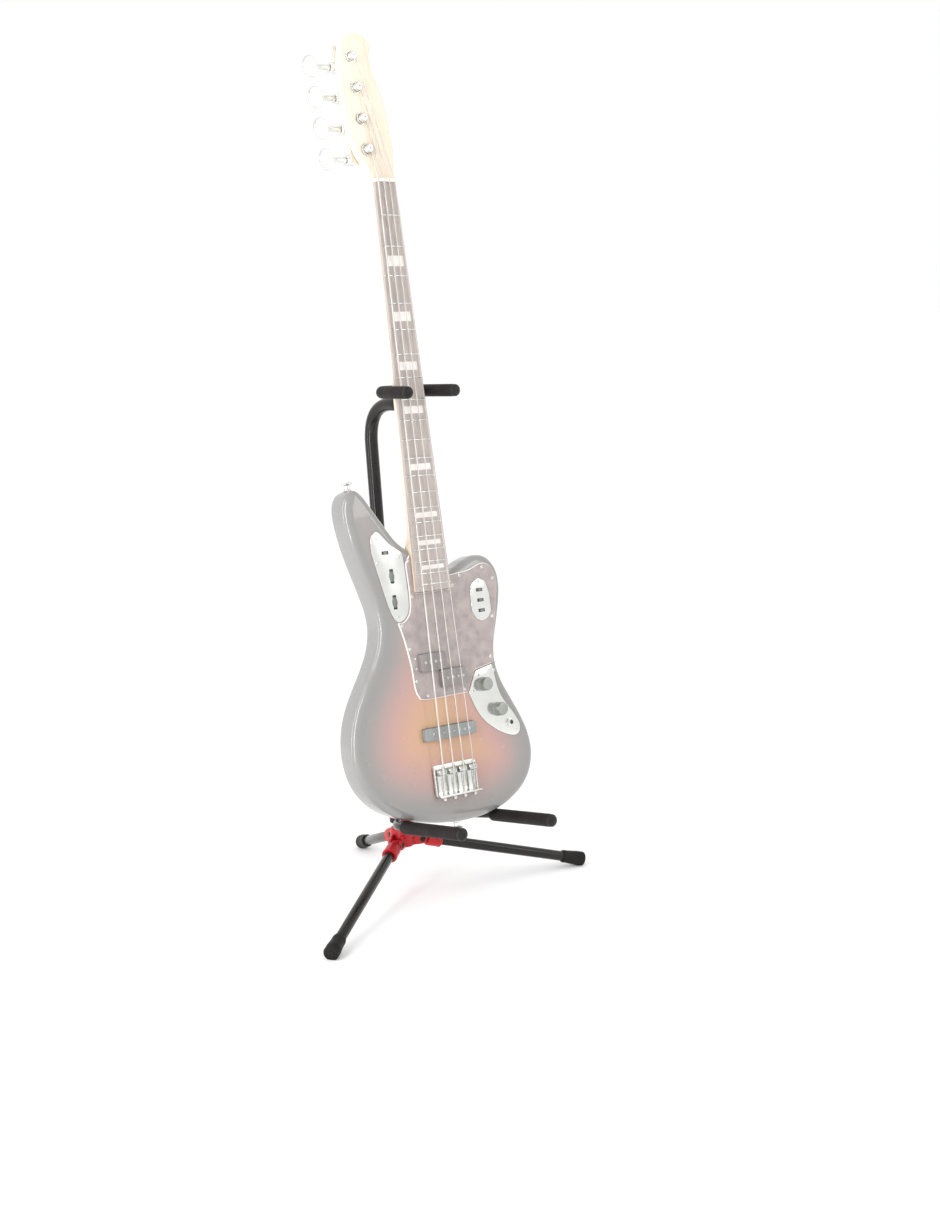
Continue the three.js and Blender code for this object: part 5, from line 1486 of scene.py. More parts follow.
@dataclass
class Body(Part):
    """The offset body: rounded edges, sunburst, the cavities its parts sit in, and its hardware."""

    thickness: float = 44.5
    edge: float = 12.0
    pocket_half: float = 32.0
    pocket_end: float = 261.8
    pocket_depth: float = 16.3
    outline: tuple[Point, ...] = (
        (-31, 327), (-48, 341), (-66, 365), (-84, 391), (-98, 411), (-111, 420), (-125, 415), (-133, 402),
        (-135, 384), (-130, 348), (-119, 307), (-107, 270), (-99, 240), (-98, 213), (-105, 187), (-119, 161),
        (-137, 134), (-154, 106), (-165, 78), (-170, 47), (-167, 15), (-157, -12), (-139, -35), (-114, -53),
        (-84, -66), (-49, -76), (-8, -82.5), (35, -84), (76, -79), (110, -67), (137, -49), (153, -27),
        (160, 0), (157, 29), (146, 58), (131, 87), (117, 115), (110, 142), (112, 170), (121, 200),
        (130, 230), (135, 258), (131, 284), (116, 302), (95, 307), (75, 302), (55, 293), (33, 288))

    def build(self) -> None:
        """Makes the body, the strap buttons and the neck plate."""
        edge_line = counter_clockwise(smooth_outline(list(self.outline), 7))
        line = np.array(edge_line)
        loose = []
        for depth in (0.35, 1.3, 2.9, 5.2, 8.2, self.edge, self.edge + 2.5):
            ring = np.array(inset(edge_line, depth))
            true = edge_distance(ring, line)
            loose += [tuple(p) for p, d in zip(ring, true) if d > depth - 0.05
                      and inside(tuple(p), edge_line)]
        grid = np.array([(x, y) for x in np.arange(-170, 171, 7.0) for y in np.arange(-88, 424, 7.0)])
        true = edge_distance(grid, line)
        loose += [tuple(p) for p, d in zip(grid, true) if d > self.edge + 5 and inside(tuple(p), edge_line)]
        spots, faces = fill_loops([edge_line], loose)
        depth = np.minimum(edge_distance(np.array(spots), line), self.edge)
        drop = self.edge - np.sqrt(np.maximum(0.0, self.edge ** 2 - (self.edge - depth) ** 2))
        shape = Shape().add([(x, y, -d) for (x, y), d in zip(spots, drop)], faces)
        under = [(x, y, d - self.thickness) for (x, y), d in zip(spots, drop)]
        shape.add(under, [tuple(reversed(f)) for f in faces])
        levels = (self.edge - self.thickness, -self.thickness / 2, -self.edge)
        shape.join(skin([[(x, y, z) for x, y in edge_line] for z in levels], capped=False))
        made = self.cut(self.shop.raw("body_blank", shape, self.layout.guitar))
        place = np.array(self.layout.guitar.inverted())
        spots3 = np.empty(len(made.data.vertices) * 3)
        made.data.vertices.foreach_get("co", spots3)
        local = np.c_[spots3.reshape(-1, 3) / MM, np.ones(len(made.data.vertices))] @ place.T
        stored = made.data.attributes.new("edge_mm", "FLOAT", "POINT")
        stored.data.foreach_set("value", edge_distance(local[:, :2], line).astype(np.float32))
        self.shop.finish(made, "guitar", "sunburst_finish", [Look.BURST], "body", angle=40)
        self.hardware()

    def cut(self, blank: Thing) -> Thing:
        """Cuts the neck pocket, the pickup cavities and the control slots into the blank."""
        boxes = [(-self.pocket_half, self.pocket_half, self.pocket_end, 400.0, -self.pocket_depth, 20.0)]
        boxes += [(x - 23.4, x + 23.4, y - 13.3, y + 13.3, -11.0, 20.0)
                  for x, y in self.layout.split_pickups]
        boxes += [(-48.0, 48.0, 42.7, 62.3, -11.0, 20.0)]
        boxes += [(x - 5, x + 5, y - 12, y + 12, -17.0, 20.0) for x, y in self.layout.rollers]
        switches = (self.layout.upper_switch, *self.layout.horn_switches)
        boxes += [(x - 7, x + 7, y - 3.5, y + 3.5, -5.0, 20.0) for x, y in switches]
        tool = Shape()
        for x0, x1, y0, y1, z0, z1 in boxes:
            box = rectangle((x0 + x1) / 2, (y0 + y1) / 2, (x1 - x0) / 2, (y1 - y0) / 2)
            tool.join(plate(corner_outline(box, 2.0, 3), z0, z1))
        cutter = self.shop.raw("cavities", tool, self.layout.guitar)
        modifier = blank.modifiers.new("cavities", "BOOLEAN")
        modifier.operation, modifier.solver, modifier.object = "DIFFERENCE", "EXACT", cutter
        bpy.context.view_layer.update()
        mesh = bpy.data.meshes.new_from_object(blank.evaluated_get(bpy.context.evaluated_depsgraph_get()))
        bpy.data.objects.remove(cutter)
        bpy.data.objects.remove(blank)
        return new_object("body_shell", mesh)

    def hardware(self) -> None:
        """Makes the strap buttons, and the neck plate with its screws."""
        profile = [(0, 0), (6.6, 0), (6.2, 0.9), (4.9, 2.2), (4.5, 3.6), (4.5, 7.4), (5.3, 8.4), (7.9, 8.9),
                   (8.5, 9.6), (8.5, 10.6), (7.8, 11.5), (6.4, 12), (3.2, 12), (2.6, 11.2), (0, 11.2)]
        for name, x, y, turn in (("horn", -112, 420.3, TO_Y), ("end", 12, -84.3, TO_MINUS_Y)):
            place = self.layout.guitar @ at(x, y, -self.thickness / 2) @ turn
            self.shop.make(f"strap_button_{name}_turned", lathe(profile, 40), place, "guitar", "chrome",
                           [Look.CHROME], f"strap_button_{name}")
        back = -self.thickness - 0.05
        outline = corner_outline(rectangle(0, 294, 25.5, 32), 4, 5)
        under = Matrix.Rotation(math.pi, 4, "Y")
        place = self.layout.guitar @ at(0, 0, back) @ under
        self.shop.make("neck_plate", plate(outline, 0, 1.8, 0.7), place, "guitar", "chrome", [Look.CHROME])
        spots = [Vector((x, y, 1.7)) for x in (-19, 19) for y in (268.5, 319.5)]
        sizes = {"Head Radius": 4.0, "Head Height": 1.5, "Slot Width": 1.0}
        self.shop.grow("neck_plate_screws", spots, self.trees.screws, sizes, place, "guitar", "chrome",
                       Look.CHROME)


@dataclass
class Neck(Part):
    """The maple neck with its headstock, the rosewood board with pearl blocks and frets, and the nut."""

    scale: float = 864.0
    frets: int = 20
    nut_width: float = 38.1
    last_width: float = 63.0
    overhang: float = 10.0
    board_top: float = 11.0
    board_base: float = 4.8
    neck_top: float = 4.75
    back: float = 11.0
    heel: float = 16.0
    heel_end: float = 330.0
    board_radius: float = 241.0
    block_frets: tuple[int, ...] = (3, 5, 7, 9, 12, 15, 17, 19)
    block_width: float = 0.7
    block_length: float = 0.36
    headstock: tuple[Point, ...] = (
        (-20, 864), (-23, 884), (-37, 905), (-47, 934), (-51, 970), (-52, 1010), (-50, 1045), (-42, 1070),
        (-24, 1082), (-5, 1079.5), (6, 1066), (2, 1048), (4, 1028), (15, 998), (23, 955), (26, 915),
        (23, 886), (20, 864))

    def fret_y(self, n: float) -> float:
        """Gives how far a fret is from the saddles."""
        return self.scale * 2 ** (-n / 12)

    def half(self, y: float) -> float:
        """Gives half of the neck's width at a place along it."""
        taper = (self.last_width - self.nut_width) / (self.scale - self.fret_y(self.frets))
        return (self.nut_width + taper * (self.scale - y)) / 2

    def build(self) -> None:
        """Makes the shaft, the headstock, the board, the frets and the nut."""
        start = self.fret_y(self.frets) - self.overhang
        rows, around = [], 28
        stations = [start, start + 0.5] + list(np.linspace(start + 4, self.heel_end - 18, 6))
        stations += list(np.linspace(self.heel_end - 14, self.heel_end + 34, 16))
        stations += list(np.linspace(self.heel_end + 60, self.scale - 30, 12))
        stations += list(np.linspace(self.scale - 20, self.scale + 20, 9))
        for y in stations:
            blend = min(1.0, max(0.0, (y - self.heel_end + 12) / 40))
            blend = blend * blend * (3 - 2 * blend)
            deep = self.heel + (self.back - self.heel) * blend
            if y > self.scale - 20:
                deep += (9.4 - self.back) * min(1.0, (y - self.scale + 20) / 24)
            power = 0.12 + 0.68 * blend
            half = self.half(min(y, self.scale)) - (0.5 if y == start else 0.0)
            top = self.neck_top if y < self.scale + 5.5 else 4.4
            turns = [math.pi + math.pi * i / around for i in range(around + 1)]
            rows.append([(half * math.copysign(abs(math.cos(a)) ** power, math.cos(a)), y,
                          top - (deep + top) * abs(math.sin(a)) ** power) for a in turns])
        head = plate(flowing(list(self.headstock), {0, 17}, 1.5, 6), -9.5, 4.5, 1.8, steps=4, both=True)
        self.fit("neck_shaft", skin(rows), "maple", [Look.MAPLE], "neck", angle=40)
        self.fit("headstock", head, "maple", [Look.MAPLE], angle=40)
        self.board(start)
        self.nut()

    def board(self, start: float) -> None:
        """Makes the radiused board with its inlays, and the frets."""
        blocks = []
        for n in self.block_frets:
            low, high = self.fret_y(n), self.fret_y(n - 1)
            middle, reach = (low + high) / 2, (high - low) * self.block_length / 2
            blocks.append((middle - reach, middle + reach))
        ys = sorted({start, self.scale, *(y for block in blocks for y in block),
                     *np.linspace(start, self.scale, 24)})
        w = self.block_width
        us = [-1.0, -0.985, -0.95, -0.88, -w, -0.55, -0.38, -0.19, 0.0, 0.19, 0.38, 0.55, w, 0.88, 0.95,
              0.985, 1.0]
        points, faces, finish, cols = [], [], [], len(us)
        for y in ys:
            for u in us:
                x = u * self.half(y)
                soft = 0.5 if abs(u) == 1.0 else (0.12 if abs(u) == 0.985 else 0.0)
                points.append((x, y, self.board_top - x * x / (2 * self.board_radius) - soft))
        for r in range(len(ys) - 1):
            for c in range(cols - 1):
                faces.append((r * cols + c, r * cols + c + 1, (r + 1) * cols + c + 1, (r + 1) * cols + c))
                y = (ys[r] + ys[r + 1]) / 2
                pearl = abs((us[c] + us[c + 1]) / 2) < w and any(low < y < high for low, high in blocks)
                finish.append(1 if pearl else 0)
        base = len(points)
        for y in ys:
            points += [(-self.half(y), y, self.board_base), (self.half(y), y, self.board_base)]
        for r in range(len(ys) - 1):
            a, b = base + 2 * r, base + 2 * (r + 1)
            faces += [(a, r * cols, (r + 1) * cols, b),
                      (r * cols + cols - 1, a + 1, b + 1, (r + 1) * cols + cols - 1), (a + 1, a, b, b + 1)]
        top = (len(ys) - 1) * cols
        faces.append(tuple([base] + [base + 1] + [cols - 1 - c for c in range(cols)]))
        faces.append(tuple([base + 2 * len(ys) - 1, base + 2 * len(ys) - 2]
                           + [top + c for c in range(cols)]))
        finish += [0] * (len(faces) - len(finish))
        board = Shape(points, faces, finish)
        self.fit("board_and_inlays", board, "fingerboard", [Look.ROSEWOOD, Look.PEARL], "fingerboard",
                 angle=30)
        sizes = {"Fret Count": self.frets, "Scale Length": self.scale, "Nut Width": self.nut_width - 1.0}
        self.repeat("fret_wires", [(0, 0, 0)], self.trees.frets, sizes, "steel", Look.SPRING_STEEL)

    def nut(self) -> None:
        """Makes the bone nut: a block with rounded edges."""
        half = self.nut_width / 2
        block = soft_box(-half, half, self.scale + 0.2, self.scale + 4.8, self.board_base + 0.2, 14.2, 0.7)
        self.fit("bone_nut", block, "nut", [Look.BONE], "nut")


@dataclass
class Plates(Part):
    """The tortoiseshell guard and the three chrome plates, with their screws and the jack."""

    base: float = 0.2
    guard_top: float = 2.7
    chrome_top: float = 1.9
    guard_left: tuple[Point, ...] = (
        (-34, 104), (-47, 110), (-52, 124), (-54, 154), (-60, 191), (-68, 221.5), (-56, 222.5), (-44.5, 236),
        (-41.5, 263), (-42.5, 306), (-32.7, 319), (-32.7, 261.1))
    guard_right: tuple[Point, ...] = (
        (32.7, 261.1), (32.7, 281.5), (48, 283.5), (72, 286), (96, 293.5), (112, 290), (122, 275),
        (124, 262), (120, 240), (113, 210), (105, 180), (101, 152), (97, 142.5), (61.5, 136), (44, 104.5))
    upper: tuple[Point, ...] = (
        (-93, 354), (-84, 355), (-65, 336), (-46, 323), (-44.5, 306), (-43.5, 263), (-46.5, 237),
        (-57, 224.5), (-69, 223.5), (-78, 238), (-86, 267), (-98, 320), (-99, 346))
    horn: tuple[Point, ...] = (
        (87, 272), (100, 266), (105, 247), (105, 220), (98, 211), (87, 207), (76, 211), (69, 224), (69, 251),
        (73, 264))
    lower: tuple[Point, ...] = (
        (63, 134), (96, 140.5), (105, 95), (129, 58), (136, 42), (131, 30), (115, 30), (87, 44), (62, 68),
        (46, 103))
    guard_screws: tuple[Point, ...] = (
        (-37.4, 309), (-37, 257), (-61.5, 216.5), (-52.5, 181), (-47.5, 133), (-30, 109.5), (39, 110),
        (98.5, 287.5), (116.5, 269), (54, 279.5), (107.5, 212), (94.5, 152.5), (38.5, 266))
    plate_screws: tuple[Point, ...] = (
        (-89, 346), (-52.5, 317), (-66, 230), (-90.5, 312), (54, 104), (98, 131), (129, 38), (68, 128))
    horn_screws: tuple[Point, ...] = ((87, 266.5), (87, 212))
    jack: Point = (117, 49)

    def slots(self, places: tuple[Point, ...], half_x: float, half_y: float) -> list[list[Point]]:
        """Gives round-cornered slots round the places."""
        return [corner_outline(rectangle(x, y, half_x, half_y), 1.0, 3) for x, y in places]

    def build(self) -> None:
        """Makes the guard, the plates, the screws and the jack."""
        outline = flowing(list(self.guard_left + self.guard_right), {5, 9, 10, 11, 12, 13, 24, 25, 26}, 2.2)
        holes = [corner_outline(rectangle(x, y, 23.4, 13.4), 3, 4) for x, y in self.layout.split_pickups]
        holes += self.slots(self.layout.horn_switches, 6.9, 3.4)
        guard = plate(outline, self.base, self.guard_top, 1.1, holes, 1, 1)
        self.fit("tortoise_guard", guard, "pickguard", [Look.SHELL, Look.WHITE_PLY], "pickguard")
        upper_holes = [corner_outline(rectangle(x, y, 3.4, 10.4), 1.2, 3) for x, y in self.layout.rollers]
        upper_holes += self.slots((self.layout.upper_switch,), 6.0, 2.5)
        horn_base = self.guard_top + 0.1
        specs = (("upper", self.upper, {3}, 4.0, self.base, self.chrome_top, upper_holes,
                  "upper_control_plate"),
                 ("horn", self.horn, set(range(10)), 3.4, horn_base, horn_base + 1.7,
                  self.slots(self.layout.horn_switches, 6.0, 2.5), "horn_switch_plate"),
                 ("lower", self.lower, {0, 1, 9}, 3.0, self.base, self.chrome_top, [],
                  "lower_control_plate"))
        for name, points, corners, radius, low, high, cuts, node in specs:
            made = plate(flowing(list(points), corners, radius), low, high, 0.5, cuts)
            self.fit(f"{name}_chrome_plate", made, "chrome", [Look.CHROME], node)
        self.fixings()

    def fixings(self) -> None:
        """Makes the screws, and the jack with its nut, washer, thread and a floor disc of painted shade."""
        spots = [(x, y, self.guard_top - 0.2) for x, y in self.guard_screws]
        sizes = {"Head Radius": 2.7, "Head Height": 1.3}
        self.repeat("guard_screws", spots, self.trees.screws, sizes, "chrome", Look.CHROME)
        spots = [(x, y, self.chrome_top - 0.15) for x, y in self.plate_screws]
        spots += [(x, y, self.guard_top + 1.6) for x, y in self.horn_screws]
        sizes = {"Head Radius": 2.5, "Head Height": 1.1}
        self.repeat("plate_screws", spots, self.trees.screws, sizes, "chrome", Look.CHROME)
        x, y = self.jack
        z = self.chrome_top
        nut = plate(circle(7, 6), z - 0.2, z + 3.2, 0.5, [circle(4.6, 28)])
        washer = lathe([(4.6, z - 0.2), (8.4, z - 0.2), (8.4, z + 0.5), (8.0, z + 0.8), (4.6, z + 0.8),
                        (4.6, z - 0.2)])
        thread = lathe([(3.2, z - 0.4), (4.7, z - 0.4), (4.7, z + 4.6), (4.3, z + 5.0), (3.6, z + 5.0),
                        (3.2, z + 4.6), (3.2, z - 0.4)], 36)
        # Painted shade: the floor disc takes the grey finish that stands for the dark depth of the jack's hole.
        floor = lathe([(0, z - 0.1), (3.3, z - 0.1), (3.3, z + 0.4), (0, z + 0.4)], 28).painted(1)
        self.shop.make("jack_socket", nut.join(washer, thread, floor), self.layout.guitar @ at(x, y, 0),
                       "guitar", "chrome", [Look.CHROME, Look.PAINTED_HOLE_SHADE])


@dataclass
class Pickups(Part):
    """The split pickup and the bridge pickup, with their pole pieces."""

    depth: float = 10.0
    pole_offset: float = 4.6

    def build(self) -> None:
        """Makes the covers and the poles."""
        strings, (bass, treble) = self.layout.strings, self.layout.split_pickups
        specs = (("split_pickup_bass", *bass, 23.0, 13.0, 9.6, strings[:2]),
                 ("split_pickup_treble", *treble, 23.0, 13.0, 9.6, strings[2:]),
                 ("bridge_pickup", 0.0, 52.5, 47.5, 9.3, 8.8, strings))
        for node, x, y, half_x, half_y, top, under in specs:
            outline = corner_outline(rectangle(x, y, half_x, half_y), 3.4, 6)
            cover = plate(outline, -self.depth, top, 1.4, steps=4)
            look = Look.COVER if node == "bridge_pickup" else Look.SMOKED_COVER
            self.fit(f"{node}_cover", cover, "pickup_cover", [look], node)
            spots = [(s + side * self.pole_offset, y, top - 0.1) for s in under for side in (-1, 1)]
            sizes = {"Pole Radius": 2.3, "Pole Rise": 1.4}
            self.repeat(f"{node}_poles", spots, self.trees.poles, sizes, "steel", Look.POLE_STEEL)
        spots = [(x, y, 2.6) for x, y in ((-44.8, 166), (-44.8, 151), (44.8, 139), (44.8, 124))]
        sizes = {"Head Radius": 1.9, "Head Height": 1.1}
        self.repeat("pickup_screws", spots, self.trees.screws, sizes, "chrome", Look.CHROME)


@dataclass
class Bridge(Part):
    """The bent chrome bridge with four barrel saddles, their screws and springs."""

    half: float = 39.0
    front: float = 6.0
    back: float = -41.0
    base: float = 0.2
    top: float = 2.3
    wall_top: float = 17.0

    def build(self) -> None:
        """Makes the plate, the saddles and the small screws."""
        middle, reach = (self.front + self.back) / 2, (self.front - self.back) / 2
        bent = plate(corner_outline(rectangle(0, middle, self.half, reach), 4, 5), self.base, self.top, 0.5)
        face = rectangle(0, (self.wall_top + self.base) / 2, self.half, (self.wall_top - self.base) / 2)
        wall = plate(corner_outline(face, 2.5, 4), 0, 2.5, 0.5, both=True)
        upright = at(0, self.back, 0) @ TO_MINUS_Y @ at(0, 0, -2.5)
        bent.join(wall.moved(upright))
        for side in (-1, 1):
            x = side * (self.half - 1.0)
            bent.join(soft_box(x - 1.0, x + 1.0, self.back, self.front - 2, self.base, 6.4, 0.6))
        self.fit("bridge_bent_plate", bent, "chrome", [Look.CHROME], "bridge_plate")
        for i, x in enumerate(self.layout.strings, 1):
            self.saddle(i, x)
        spots = [(x, -13.0, 9.3) for x in self.layout.strings]
        sizes = {"Coil Length": 24.5, "Turns": 12.0}
        self.repeat("saddle_springs", spots, self.trees.springs, sizes, "steel", Look.SPRING_STEEL)
        spots = [(x, 2.2, self.top - 0.2) for x in (-19, 0, 19)]
        sizes = {"Head Radius": 3.0, "Head Height": 1.4}
        self.repeat("bridge_screws", spots, self.trees.screws, sizes, "chrome", Look.CHROME)

    def saddle(self, number: int, x: float) -> None:
        """Makes one grooved barrel saddle with its height screws and intonation screw.

        Args:
            number: The string's number.
            x: The string's place.
        """
        profile = [(0.0, -7.0), (4.6, -7.0), (5.3, -6.4)]
        for k in range(7):
            z = -5.4 + k * 1.8
            dip = 1.3 if k == 3 else 0.45
            profile += [(5.3, z - 0.7), (5.3 - dip, z)]
        profile += [(5.3, 6.4), (4.6, 7.0), (0.0, 7.0)]
        made = lathe(profile, 36).moved(at(x, -4.6, 9.3) @ TO_X)
        for side in (-1, 1):
            made.join(soft_rod(1.5, 2.5, 15.2, 0.4, 16).moved(at(x + side * 5.0, -4.6, 0)))
        rod = soft_rod(1.25, 0.0, 32.0, 0.3, 16)
        made.join(rod.moved(at(x, -8.0, 9.3) @ TO_MINUS_Y))
        head = lathe([(0, 0), (3.0, 0), (3.0, 1.1), (2.0, 2.0), (0, 2.2)], 24)
        made.join(head.moved(at(x, self.back - 0.1, 9.3) @ TO_MINUS_Y))
        self.fit(f"barrel_saddle_{number}", made, "steel", [Look.POLE_STEEL], f"saddle_{number}")


@dataclass
class Strings(Part):
    """Four wound strings from their ball ends over saddle and nut to the tuner posts."""

    radii: tuple[float, ...] = (1.35, 1.1, 0.85, 0.6)
    saddle_spread: float = 57.0
    nut_spread: float = 30.0
    post_radius: float = 6.3

    def build(self) -> None:
        """Makes each string with its ball and the turns round its post."""
        for i, radius in enumerate(self.radii):
            share = i / 3 - 0.5
            x, (px, py) = share * self.saddle_spread, self.layout.tuner_posts[i]
            anchor, nut = Vector((x, -44.3, 10.0)), Vector((share * self.nut_spread, 866.4, 13.8))
            ring = self.post_radius + radius
            path = rounded_path([anchor, Vector((x, -4.4, 15.0)), nut, Vector((px + ring, py - 1.0, 9.0))],
                                3.0, 6)
            turns = min(3.0, (4.3 - radius) / (2 * radius))
            for k in range(int(turns * 20) + 1):
                a = 2 * math.pi * k / 20
                path.append(Vector((px + ring * math.cos(a), py + ring * math.sin(a),
                                    9.0 - 2 * radius * k / 20)))
            made = sweep(path, radius, 12)
            ball = lathe([(0, -2.6), (2.2, -2.2), (3.0, -0.8), (3.0, 0.8), (2.2, 2.2), (0, 2.6)], 20)
            made.join(ball.moved(at(*anchor)))
            self.fit(f"wound_string_{i + 1}", made, "steel", [Look.WOUND], f"string_{i + 1}", angle=50)


@dataclass
class Tuners(Part):
    """Four open-gear tuners: posts in bushings, worm housings and oval keys."""

    back: float = -9.5
    post_top: float = 17.0
    axle_depth: float = 9.0
    axle_offset: float = 11.0
    reach: float = 46.0
    key_width: float = 25.0
    key_height: float = 32.0

    def build(self) -> None:
        """Makes the four tuners."""
        bushings = Shape()
        for i, (x, y) in enumerate(self.layout.tuner_posts, 1):
            ring = lathe([(6.3, 4.4), (9.4, 4.4), (9.4, 5.0), (8.8, 5.6), (6.3, 5.6), (6.3, 4.4)], 40)
            bushings.join(ring.moved(at(x, y, 0)))
            self.tuner(i, x, y)
        self.fit("post_bushings", bushings, "chrome", [Look.CHROME])

    def tuner(self, number: int, x: float, y: float) -> None:
        """Makes one tuner's post, base and key.

        Args:
            number: The string's number.
            x, y: The post's place.
        """
        low, top = self.back + 0.3, self.post_top
        post = lathe([(0, low), (6.0, low), (6.0, 5.4), (5.9, 10.8), (5.2, 12.0), (5.2, 12.8), (6.0, 14.0),
                      (6.0, top - 1.2), (5.3, top - 0.2), (4.6, top), (2.2, top), (2.2, top - 3.0),
                      (0, top - 3.0)], 40)
        self.shop.make(f"string_post_{number}", post, self.layout.guitar @ at(x, y, 0),
                       f"tuner_post_{number}", "chrome", [Look.CHROME], f"tuner_post_{number}")
        axle_z, axle_y = self.back - self.axle_depth, y - self.axle_offset
        foot = plate(corner_outline(rectangle(x - 3, y, 15, 19), 4, 5), self.back - 2.5, self.back - 0.3,
                     0.6, both=True)
        housing = soft_box(x - 22, x - 4, axle_y - 6.5, axle_y + 6.5, axle_z - 6.5, self.back - 1.0, 1.6)
        rims = circle(8.1, 96), circle(9.0, 96)
        teeth = [rims[k % 4 in (1, 2)][k] for k in range(96)]
        gear = plate(teeth, axle_z - 2, axle_z + 3.5, 0.3).moved(at(x, y, 0))
        boss = soft_rod(4.2, axle_z - 4.2, self.back - 1, 0.6, 32).moved(at(x, y, 0))
        foot.join(housing, gear, boss)
        self.fit(f"tuner_housing_{number}", foot, "chrome", [Look.CHROME], f"tuner_base_{number}")
        oval = [(self.key_width * x, self.key_height * y) for x, y in circle(0.5, 48)]
        paddle = plate(oval, -2.5, 2.5, 1.9, steps=5, both=True)
        paddle = paddle.moved(at(-self.reach - self.key_width / 2 + 3, 0, 0))
        axle = soft_rod(3.0, 7.4, self.reach, 0.4, 28)
        axle.join(lathe([(3.0, 23), (4.6, 23), (4.6, 25), (3.9, 26), (3.9, 38), (3.0, 42)], 28))
        key = paddle.join(axle.moved(Matrix.Rotation(-math.pi / 2, 4, "Y")))
        self.shop.make(f"oval_key_{number}", key, self.layout.guitar @ at(x, axle_y, axle_z),
                       f"tuner_key_{number}", "chrome", [Look.CHROME], f"tuner_key_{number}")


@dataclass
class Controls(Part):
    """The two knobs, the thumb wheels and the slide switches."""

    knob_radius: float = 10.5
    knob_height: float = 15.0
    knob_base: float = 2.3
    knobs: tuple[tuple[str, float, float], ...] = (("volume", 73, 113), ("tone", 96, 72))
    roller_radius: float = 9.7
    roller_width: float = 6.0
    roller_z: float = -4.6

    def build(self) -> None:
        """Makes every control."""
        z0, z1, r = self.knob_base, self.knob_base + self.knob_height, self.knob_radius
        for name, x, y in self.knobs:
            place = self.layout.guitar @ at(x, y, 0)
            made = lathe([(0, z0), (r, z0), (r, z0 + 1.4), (r - 0.7, z0 + 2.0), (r - 0.9, z1 - 2.4),
                          (r - 1.3, z1 - 1.0), (r - 2.6, z1 - 0.1), (r - 3.4, z1), (0, z1 - 0.5)], 72)
            self.shop.make(f"{name}_knob", made, place, f"knob_{name}", "chrome", [Look.KNOB_METAL],
                           f"knob_{name}")
            sizes = {"Rib Count": 48, "Rim Radius": r - 0.85, "Rib Width": 0.8, "Rib Height": 10.4}
            middle = Vector((0, 0, (z0 + z1) / 2 - 0.6))
            self.shop.grow(f"{name}_knob_ribs", [middle], self.trees.ribs, sizes, place, f"knob_{name}",
                           "chrome", Look.KNOB_METAL)
        for i, (x, y) in enumerate(self.layout.rollers, 1):
            place = self.layout.guitar @ at(x, y, self.roller_z) @ TO_X
            half = self.roller_width / 2
            wheel = soft_rod(self.roller_radius - 0.4, -half, half, 0.6, 56)
            self.shop.make(f"thumb_wheel_{i}", wheel, place, f"roller_knob_{i}", "roller", [Look.GREY_TAB],
                           f"roller_knob_{i}")
            sizes = {"Rib Count": 40, "Rim Radius": self.roller_radius - 0.35, "Rib Width": 0.7,
                     "Rib Height": self.roller_width - 1.2}
            self.shop.grow(f"thumb_wheel_ribs_{i}", [Vector()], self.trees.ribs, sizes, place,
                           f"roller_knob_{i}", "roller", Look.GREY_TAB)
        tabs = [("upper", *self.layout.upper_switch, 0.3)]
        tabs += [(f"horn_{i}", x, y, 3.0) for i, (x, y) in enumerate(self.layout.horn_switches, 1)]
        for name, x, y, base in tabs:
            tab = soft_box(-2.5, 2.5, -2.0, 2.0, base - 2, base + 4.6, 0.6)
            for k in (-1, 0, 1):
                tab.join(soft_box(k * 1.3 - 0.3, k * 1.3 + 0.3, -2.0, 2.0, base + 4.0, base + 5.0, 0.2))
            self.shop.make(f"slide_tab_{name}", tab, self.layout.guitar @ at(x, y, 0),
                           f"slide_switch_{name}", "pickup_cover", [Look.GREY_TAB],
                           f"slide_switch_{name}")


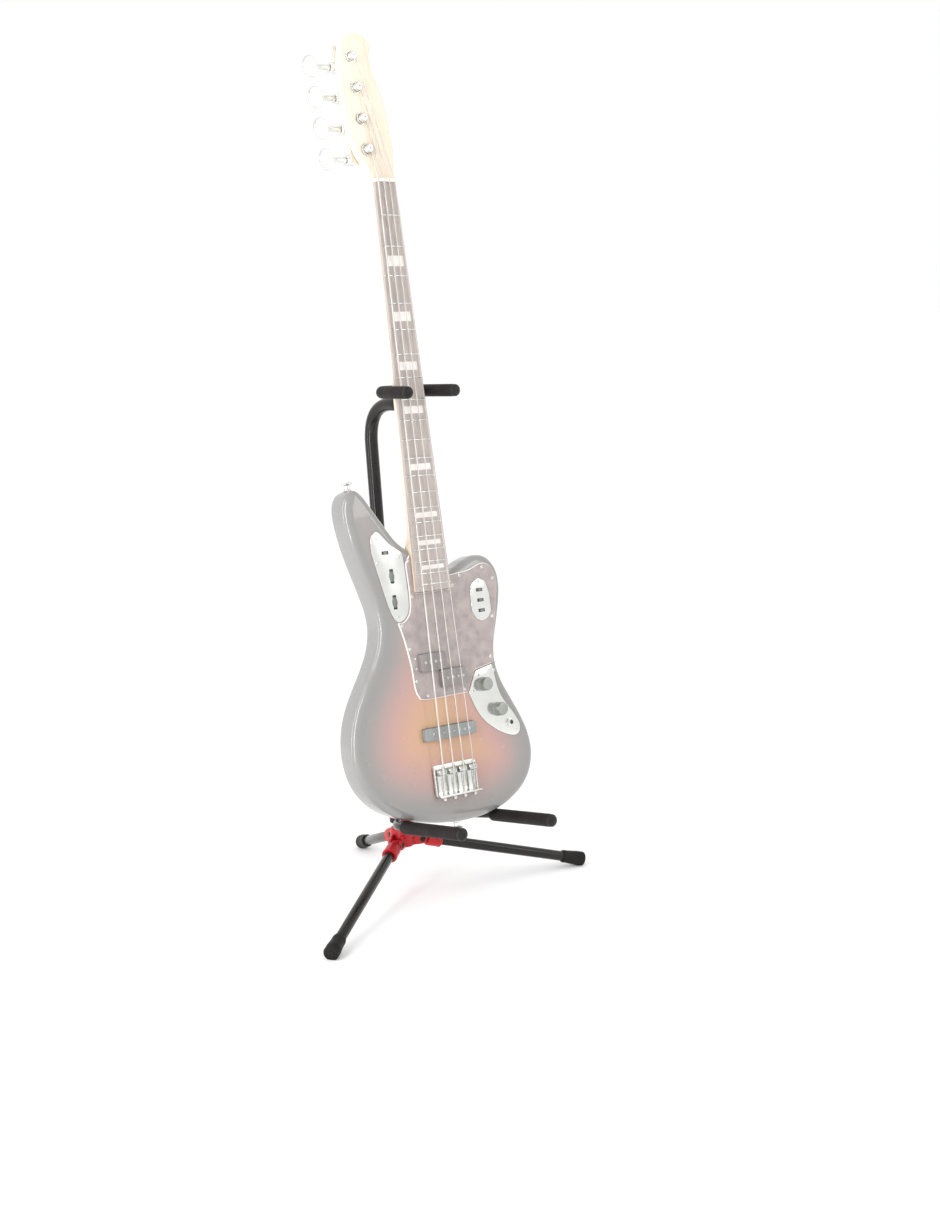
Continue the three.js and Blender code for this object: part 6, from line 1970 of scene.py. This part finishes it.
# ---------- studio
@dataclass
class Studio:
    """A white floor, soft lights and the camera."""

    camera_at: tuple[float, float, float] = (-1.7104, -2.2534, 0.951)
    lens: float = 56.40
    azimuth: float = -38.81
    pitch: float = 10.154
    floor_half: float = 30.0
    target: tuple[float, float, float] = (0.0, 0.0, 0.6)
    lights: tuple[tuple, ...] = (
        ("key_strip", (-2.3, -0.9, 1.0), 0.26, 3.4, 37), ("side_strip", (-2.4, 0.7, 1.0), 0.16, 3.4, 20),
        ("fill", (1.9, -2.6, 2.1), 0.9, 1.8, 12))

    def light(self, name: str, place: tuple, width: float, height: float, watts: float) -> None:
        """Adds a soft box that looks at the object.

        Args:
            name: The light's name.
            place: Where it stands, in metres.
            width, height: Its sides, in metres.
            watts: Its power.
        """
        data = bpy.data.lights.new(name, "AREA")
        data.shape, data.size, data.size_y, data.energy = "RECTANGLE", width, height, watts
        made = new_object(name, data)
        made.location = place
        made.rotation_euler = (Vector(self.target) - Vector(place)).to_track_quat("-Z", "Y").to_euler()

    def build(self) -> None:
        """Makes the floor, the lights, the world and the camera."""
        floor_mesh = bpy.data.meshes.new("studio_floor")
        corners = [(x, y, 0) for x, y in rectangle(0, 0, self.floor_half, self.floor_half)]
        floor_mesh.from_pydata(corners, [], [(0, 1, 2, 3)])
        floor = new_object("studio_floor", floor_mesh)
        paper = bpy.data.materials.new("studio_paper")
        paper.use_nodes = True
        shader = paper.node_tree.nodes["Principled BSDF"]
        shader.inputs["Base Color"].default_value = linear("fbfbfb")
        shader.inputs["Roughness"].default_value = 0.9
        shader.inputs["Emission Color"].default_value = linear("ffffff")
        shader.inputs["Emission Strength"].default_value = 0.07
        floor_mesh.materials.append(paper)
        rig.stage(floor)
        for light in self.lights:
            self.light(*light)
        world = bpy.data.worlds.new("studio_world")
        world.use_nodes = True
        world.node_tree.nodes["Background"].inputs["Color"].default_value = (1.0, 1.0, 1.0, 1.0)
        world.node_tree.nodes["Background"].inputs["Strength"].default_value = 1.0
        bpy.context.scene.world = world
        bpy.context.scene.view_settings.view_transform = "Standard"
        data = bpy.data.cameras.new("studio_camera")
        data.lens, data.sensor_width, data.sensor_fit = self.lens, 36.0, "AUTO"
        data.clip_start, data.clip_end = 0.05, 40.0
        camera = new_object("studio_camera", data)
        camera.location = self.camera_at
        camera.rotation_euler = (math.radians(90 - self.pitch), 0.0, math.radians(self.azimuth))
        bpy.context.scene.camera = camera


def main() -> Workshop:
    """Builds the stand, the instrument and the studio.

    Returns:
        The workshop, which lists what was made.
    """
    logging.basicConfig(level=logging.INFO, format="%(name)s: %(message)s")
    given = (Layout(), Workshop(), Trees())
    for kind in (Tripod, Mast, Cradle, Yoke, Body, Neck, Plates, Pickups, Bridge, Strings, Tuners, Controls):
        kind(*given).build()
    Studio().build()
    LOG.info("made %d pieces", len(given[1].made))
    return given[1]


def write_sizes(path: str = "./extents.json") -> None:
    """Writes the CAD model's box and the visual model's box as plain lists."""
    low, high = CAD_BOUNDS
    seen_low, seen_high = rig.bounds()
    with open(path, "w") as file:
        json.dump({"cad": [list(low), list(high)], "visual": [list(seen_low), list(seen_high)]}, file)


if __name__ == "__main__":
    main()
    write_sizes()
